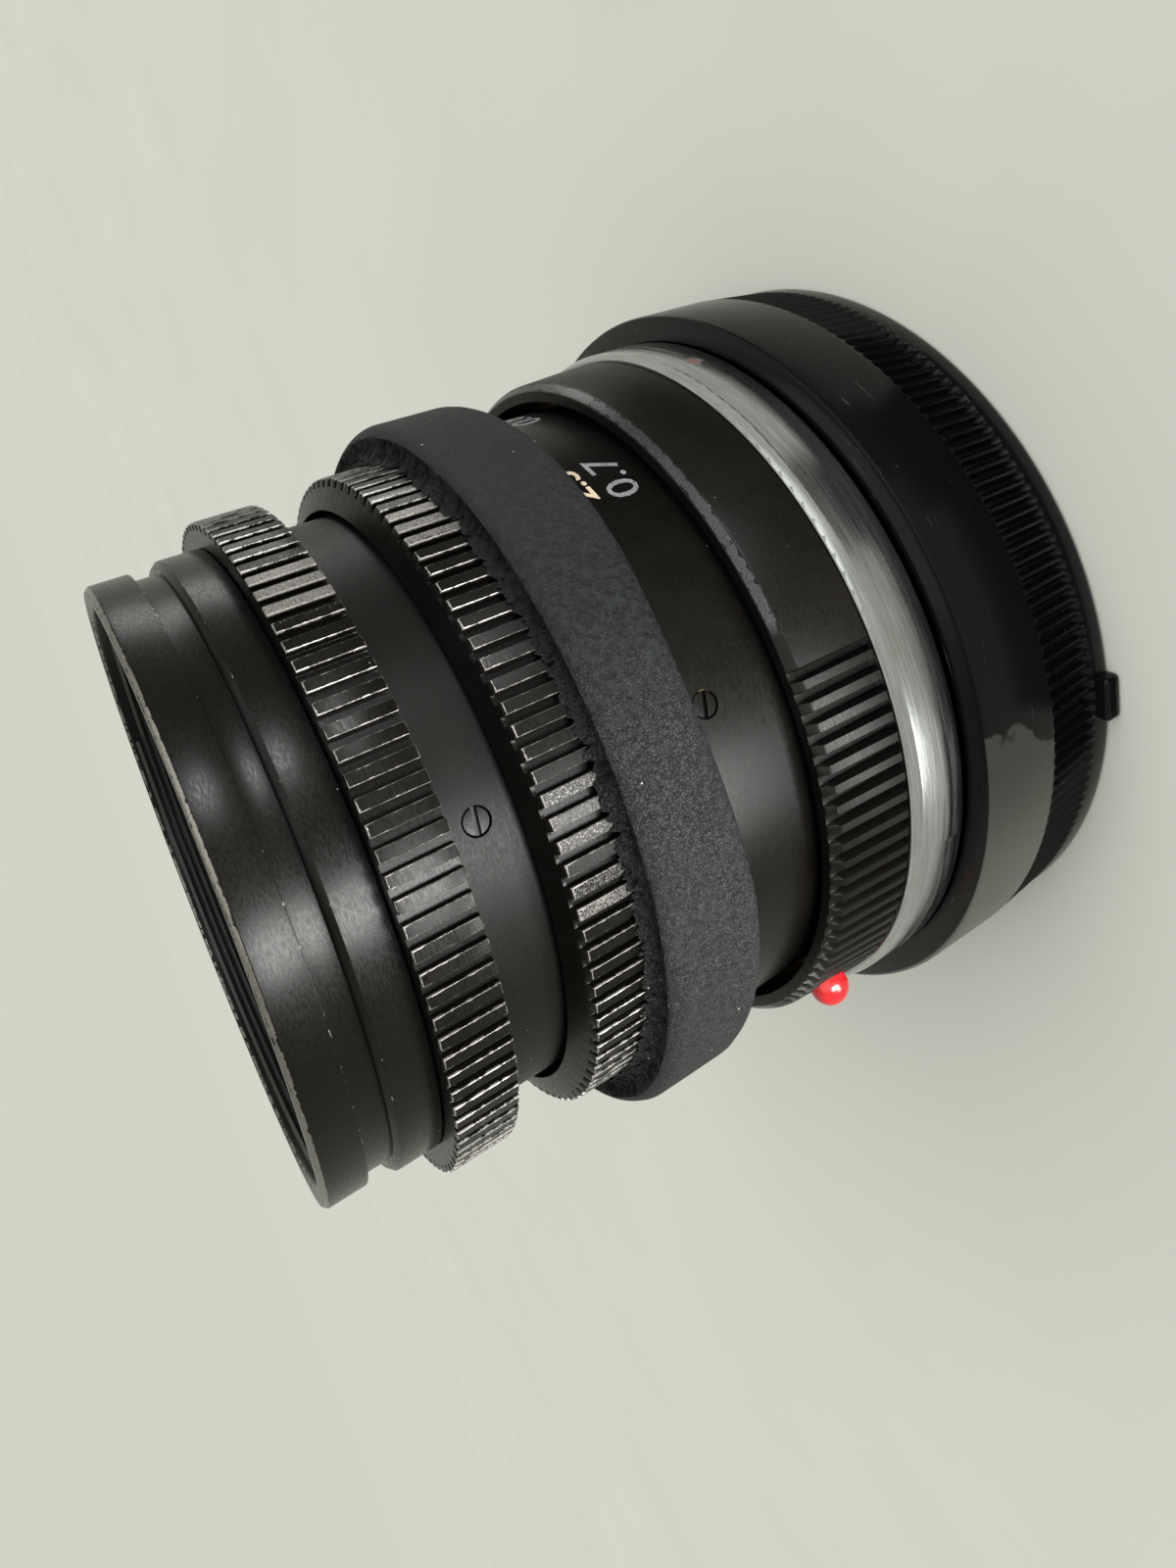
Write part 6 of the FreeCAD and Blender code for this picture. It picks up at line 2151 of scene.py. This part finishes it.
@dataclass(frozen=True)
class Studio:
    """Pale floor, pale surroundings, soft lamps and dark cards that put painted shade into
    the reflections.
    """

    floor: Colour = (0.763, 0.776, 0.690)
    seen: Colour = (0.650, 0.655, 0.572)
    floor_reach: float = 8.0
    ambient: float = 0.40
    daylight: Colour = (1.0, 0.99, 0.97)
    sky_strength: float = 1.9
    sky_width: float = 75.0
    sky_way: Colour = (0.25, 0.75, -1.0)
    card_lift: float = 0.0004
    # Dark cards that put painted shade into the lens's reflections: near and far radius in
    # metres, first and last azimuth in degrees.
    dark_cards: tuple[tuple[float, float, float, float], ...] = (
        (0.0285, 0.0415, 188.0, 250.0), (0.0415, 0.0500, 228.0, 254.0),
        (0.052, 0.100, 238.0, 305.0))
    lamps: tuple[Lamp, ...] = (
        Lamp("window", 195.0, 0.12, 0.027, 0.032, 0.080, 0.44),
        Lamp("second_window", 318.0, 0.14, 0.032, 0.036, 0.062, 0.05),
        Lamp("rim_window", 246.0, 0.18, 0.046, 0.028, 0.042, 0.18),
        Lamp("low_window", 184.0, 0.074, 0.006, 0.030, 0.014, 0.05, 0.025),
        Lamp("chrome_window", 181.0, 0.050, 0.0025, 0.014, 0.010, 0.003, 0.015,
             CHROME_ONLY),
    )

    def build(self) -> None:
        """Makes the floor, the world and the lamps."""
        mesh = bpy.data.meshes.new("floor")
        edge = self.floor_reach
        mesh.from_pydata([(-edge, -edge, 0), (edge, -edge, 0), (edge, edge, 0),
                          (-edge, edge, 0)], [], [(0, 1, 2, 3)])
        floor = new_object("floor", mesh)
        bench = Bench("floor_paint")
        place = bench.place()
        speck = bench.noise(place.point, 0.02, 4.0)
        bench.put(
            Base_Color=bench.mix(bench.ramp(speck, 0.3, 0.7), self.floor,
                                 tuple(value * 0.965 for value in self.floor)),
            Roughness=0.75,
            Specular_IOR_Level=0.2,
        )
        floor.data.materials.append(bench.material)
        self.cards()
        self.world()
        for name in (SPARED, CHROME_ONLY):
            bpy.data.collections.new(name)
        spare(floor)
        for lamp in self.lamps:
            lamp.light()
        sun = bpy.data.lights.new("sky", "SUN")
        sun.energy = self.sky_strength
        sun.angle = math.radians(self.sky_width)
        sun.color = self.daylight
        sky = bpy.data.objects.new("sky", sun)
        sky.rotation_euler = Vector(self.sky_way).to_track_quat("-Z", "Y").to_euler()
        bpy.context.scene.collection.objects.link(sky)
        bpy.context.scene.view_settings.view_transform = "Standard"

    def cards(self) -> None:
        """Dark cards lying round the lens, seen only in its reflections, where they put
        painted shade.
        """
        bench = Bench("card_black")
        bench.put(Base_Color=(0.015, 0.015, 0.015), Roughness=0.8, Specular_IOR_Level=0.1)
        steps = 12
        for index, (near, far, start, end) in enumerate(self.dark_cards):
            rows = []
            for reach in (near, far):
                for step in range(steps + 1):
                    turn = math.radians(start + (end - start) * step / steps)
                    rows.append(around(reach, turn, self.card_lift))
            faces = [(step, step + steps + 1, step + steps + 2, step + 1)
                     for step in range(steps)]
            mesh = bpy.data.meshes.new(f"dark_card_{index}")
            mesh.from_pydata(rows, [], faces)
            mesh.materials.append(bench.material)
            card = new_object(f"dark_card_{index}", mesh)
            for ray in ("camera", "diffuse", "transmission", "shadow"):
                setattr(card, f"visible_{ray}", False)

    def world(self) -> None:
        """Surroundings: even light, and the floor's colour where they are seen."""
        world = bpy.data.worlds.new("surroundings")
        world.use_nodes = True
        nodes, links = world.node_tree.nodes, world.node_tree.links
        nodes.clear()
        output = nodes.new("ShaderNodeOutputWorld")
        path = nodes.new("ShaderNodeLightPath")
        seen = path.outputs["Is Camera Ray"]
        for ray in ("Is Glossy Ray", "Is Transmission Ray"):
            either = nodes.new("ShaderNodeMath")
            either.operation = "MAXIMUM"
            links.new(seen, either.inputs[0])
            links.new(path.outputs[ray], either.inputs[1])
            seen = either.outputs[0]
        even = nodes.new("ShaderNodeBackground")
        even.inputs["Color"].default_value = (*self.daylight, 1.0)
        even.inputs["Strength"].default_value = self.ambient
        pale = nodes.new("ShaderNodeBackground")
        pale.inputs["Color"].default_value = (*self.seen, 1.0)
        mix = nodes.new("ShaderNodeMixShader")
        links.new(seen, mix.inputs[0])
        links.new(even.outputs[0], mix.inputs[1])
        links.new(pale.outputs[0], mix.inputs[2])
        links.new(mix.outputs[0], output.inputs[0])
        bpy.context.scene.world = world


@dataclass(frozen=True)
class PhotoCamera:
    """Camera at the photograph's place, found from the rings' outlines."""

    place: Colour = (-0.0593171, -0.0497730, 0.0580005)
    right: Colour = (-0.561003, 0.064668, -0.825284)
    up: Colour = (0.359915, -0.878732, -0.313515)
    back: Colour = (-0.745478, -0.472915, 0.469696)
    focal: float = 24.697
    shift: tuple[float, float] = (-0.0234, -0.1451)

    def build(self) -> None:
        """Makes the camera and gives it to the scene."""
        data = bpy.data.cameras.new("photo_camera")
        data.sensor_fit = "AUTO"
        data.sensor_width = 36.0
        data.lens = self.focal
        data.shift_x, data.shift_y = self.shift
        data.clip_start = 0.001
        camera = bpy.data.objects.new("photo_camera", data)
        matrix = Matrix((self.right, self.up, self.back)).transposed().to_4x4()
        matrix.translation = Vector(self.place)
        camera.matrix_world = matrix
        bpy.context.scene.collection.objects.link(camera)
        bpy.context.scene.camera = camera


def main() -> None:
    """Builds the dressed lens and its studio."""
    logging.basicConfig(level=logging.INFO, format="%(name)s: %(message)s")
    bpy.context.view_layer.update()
    finishes = Finishes()
    repeats = RoundArray()
    PhotoCamera().build()
    Studio().build()
    for kind in (FrontBarrel, ApertureRing, BarrelSleeve, FocusRing, GripBand, MountCollar,
                 BayonetFlange, RearCap, Optics, Works, Markings):
        assembly = kind(finishes, repeats)
        assembly.build()
        LOG.info("%s: %s", kind.__name__, ", ".join(assembly.pieces) or "solids dressed")


if __name__ == "__main__":
    main()
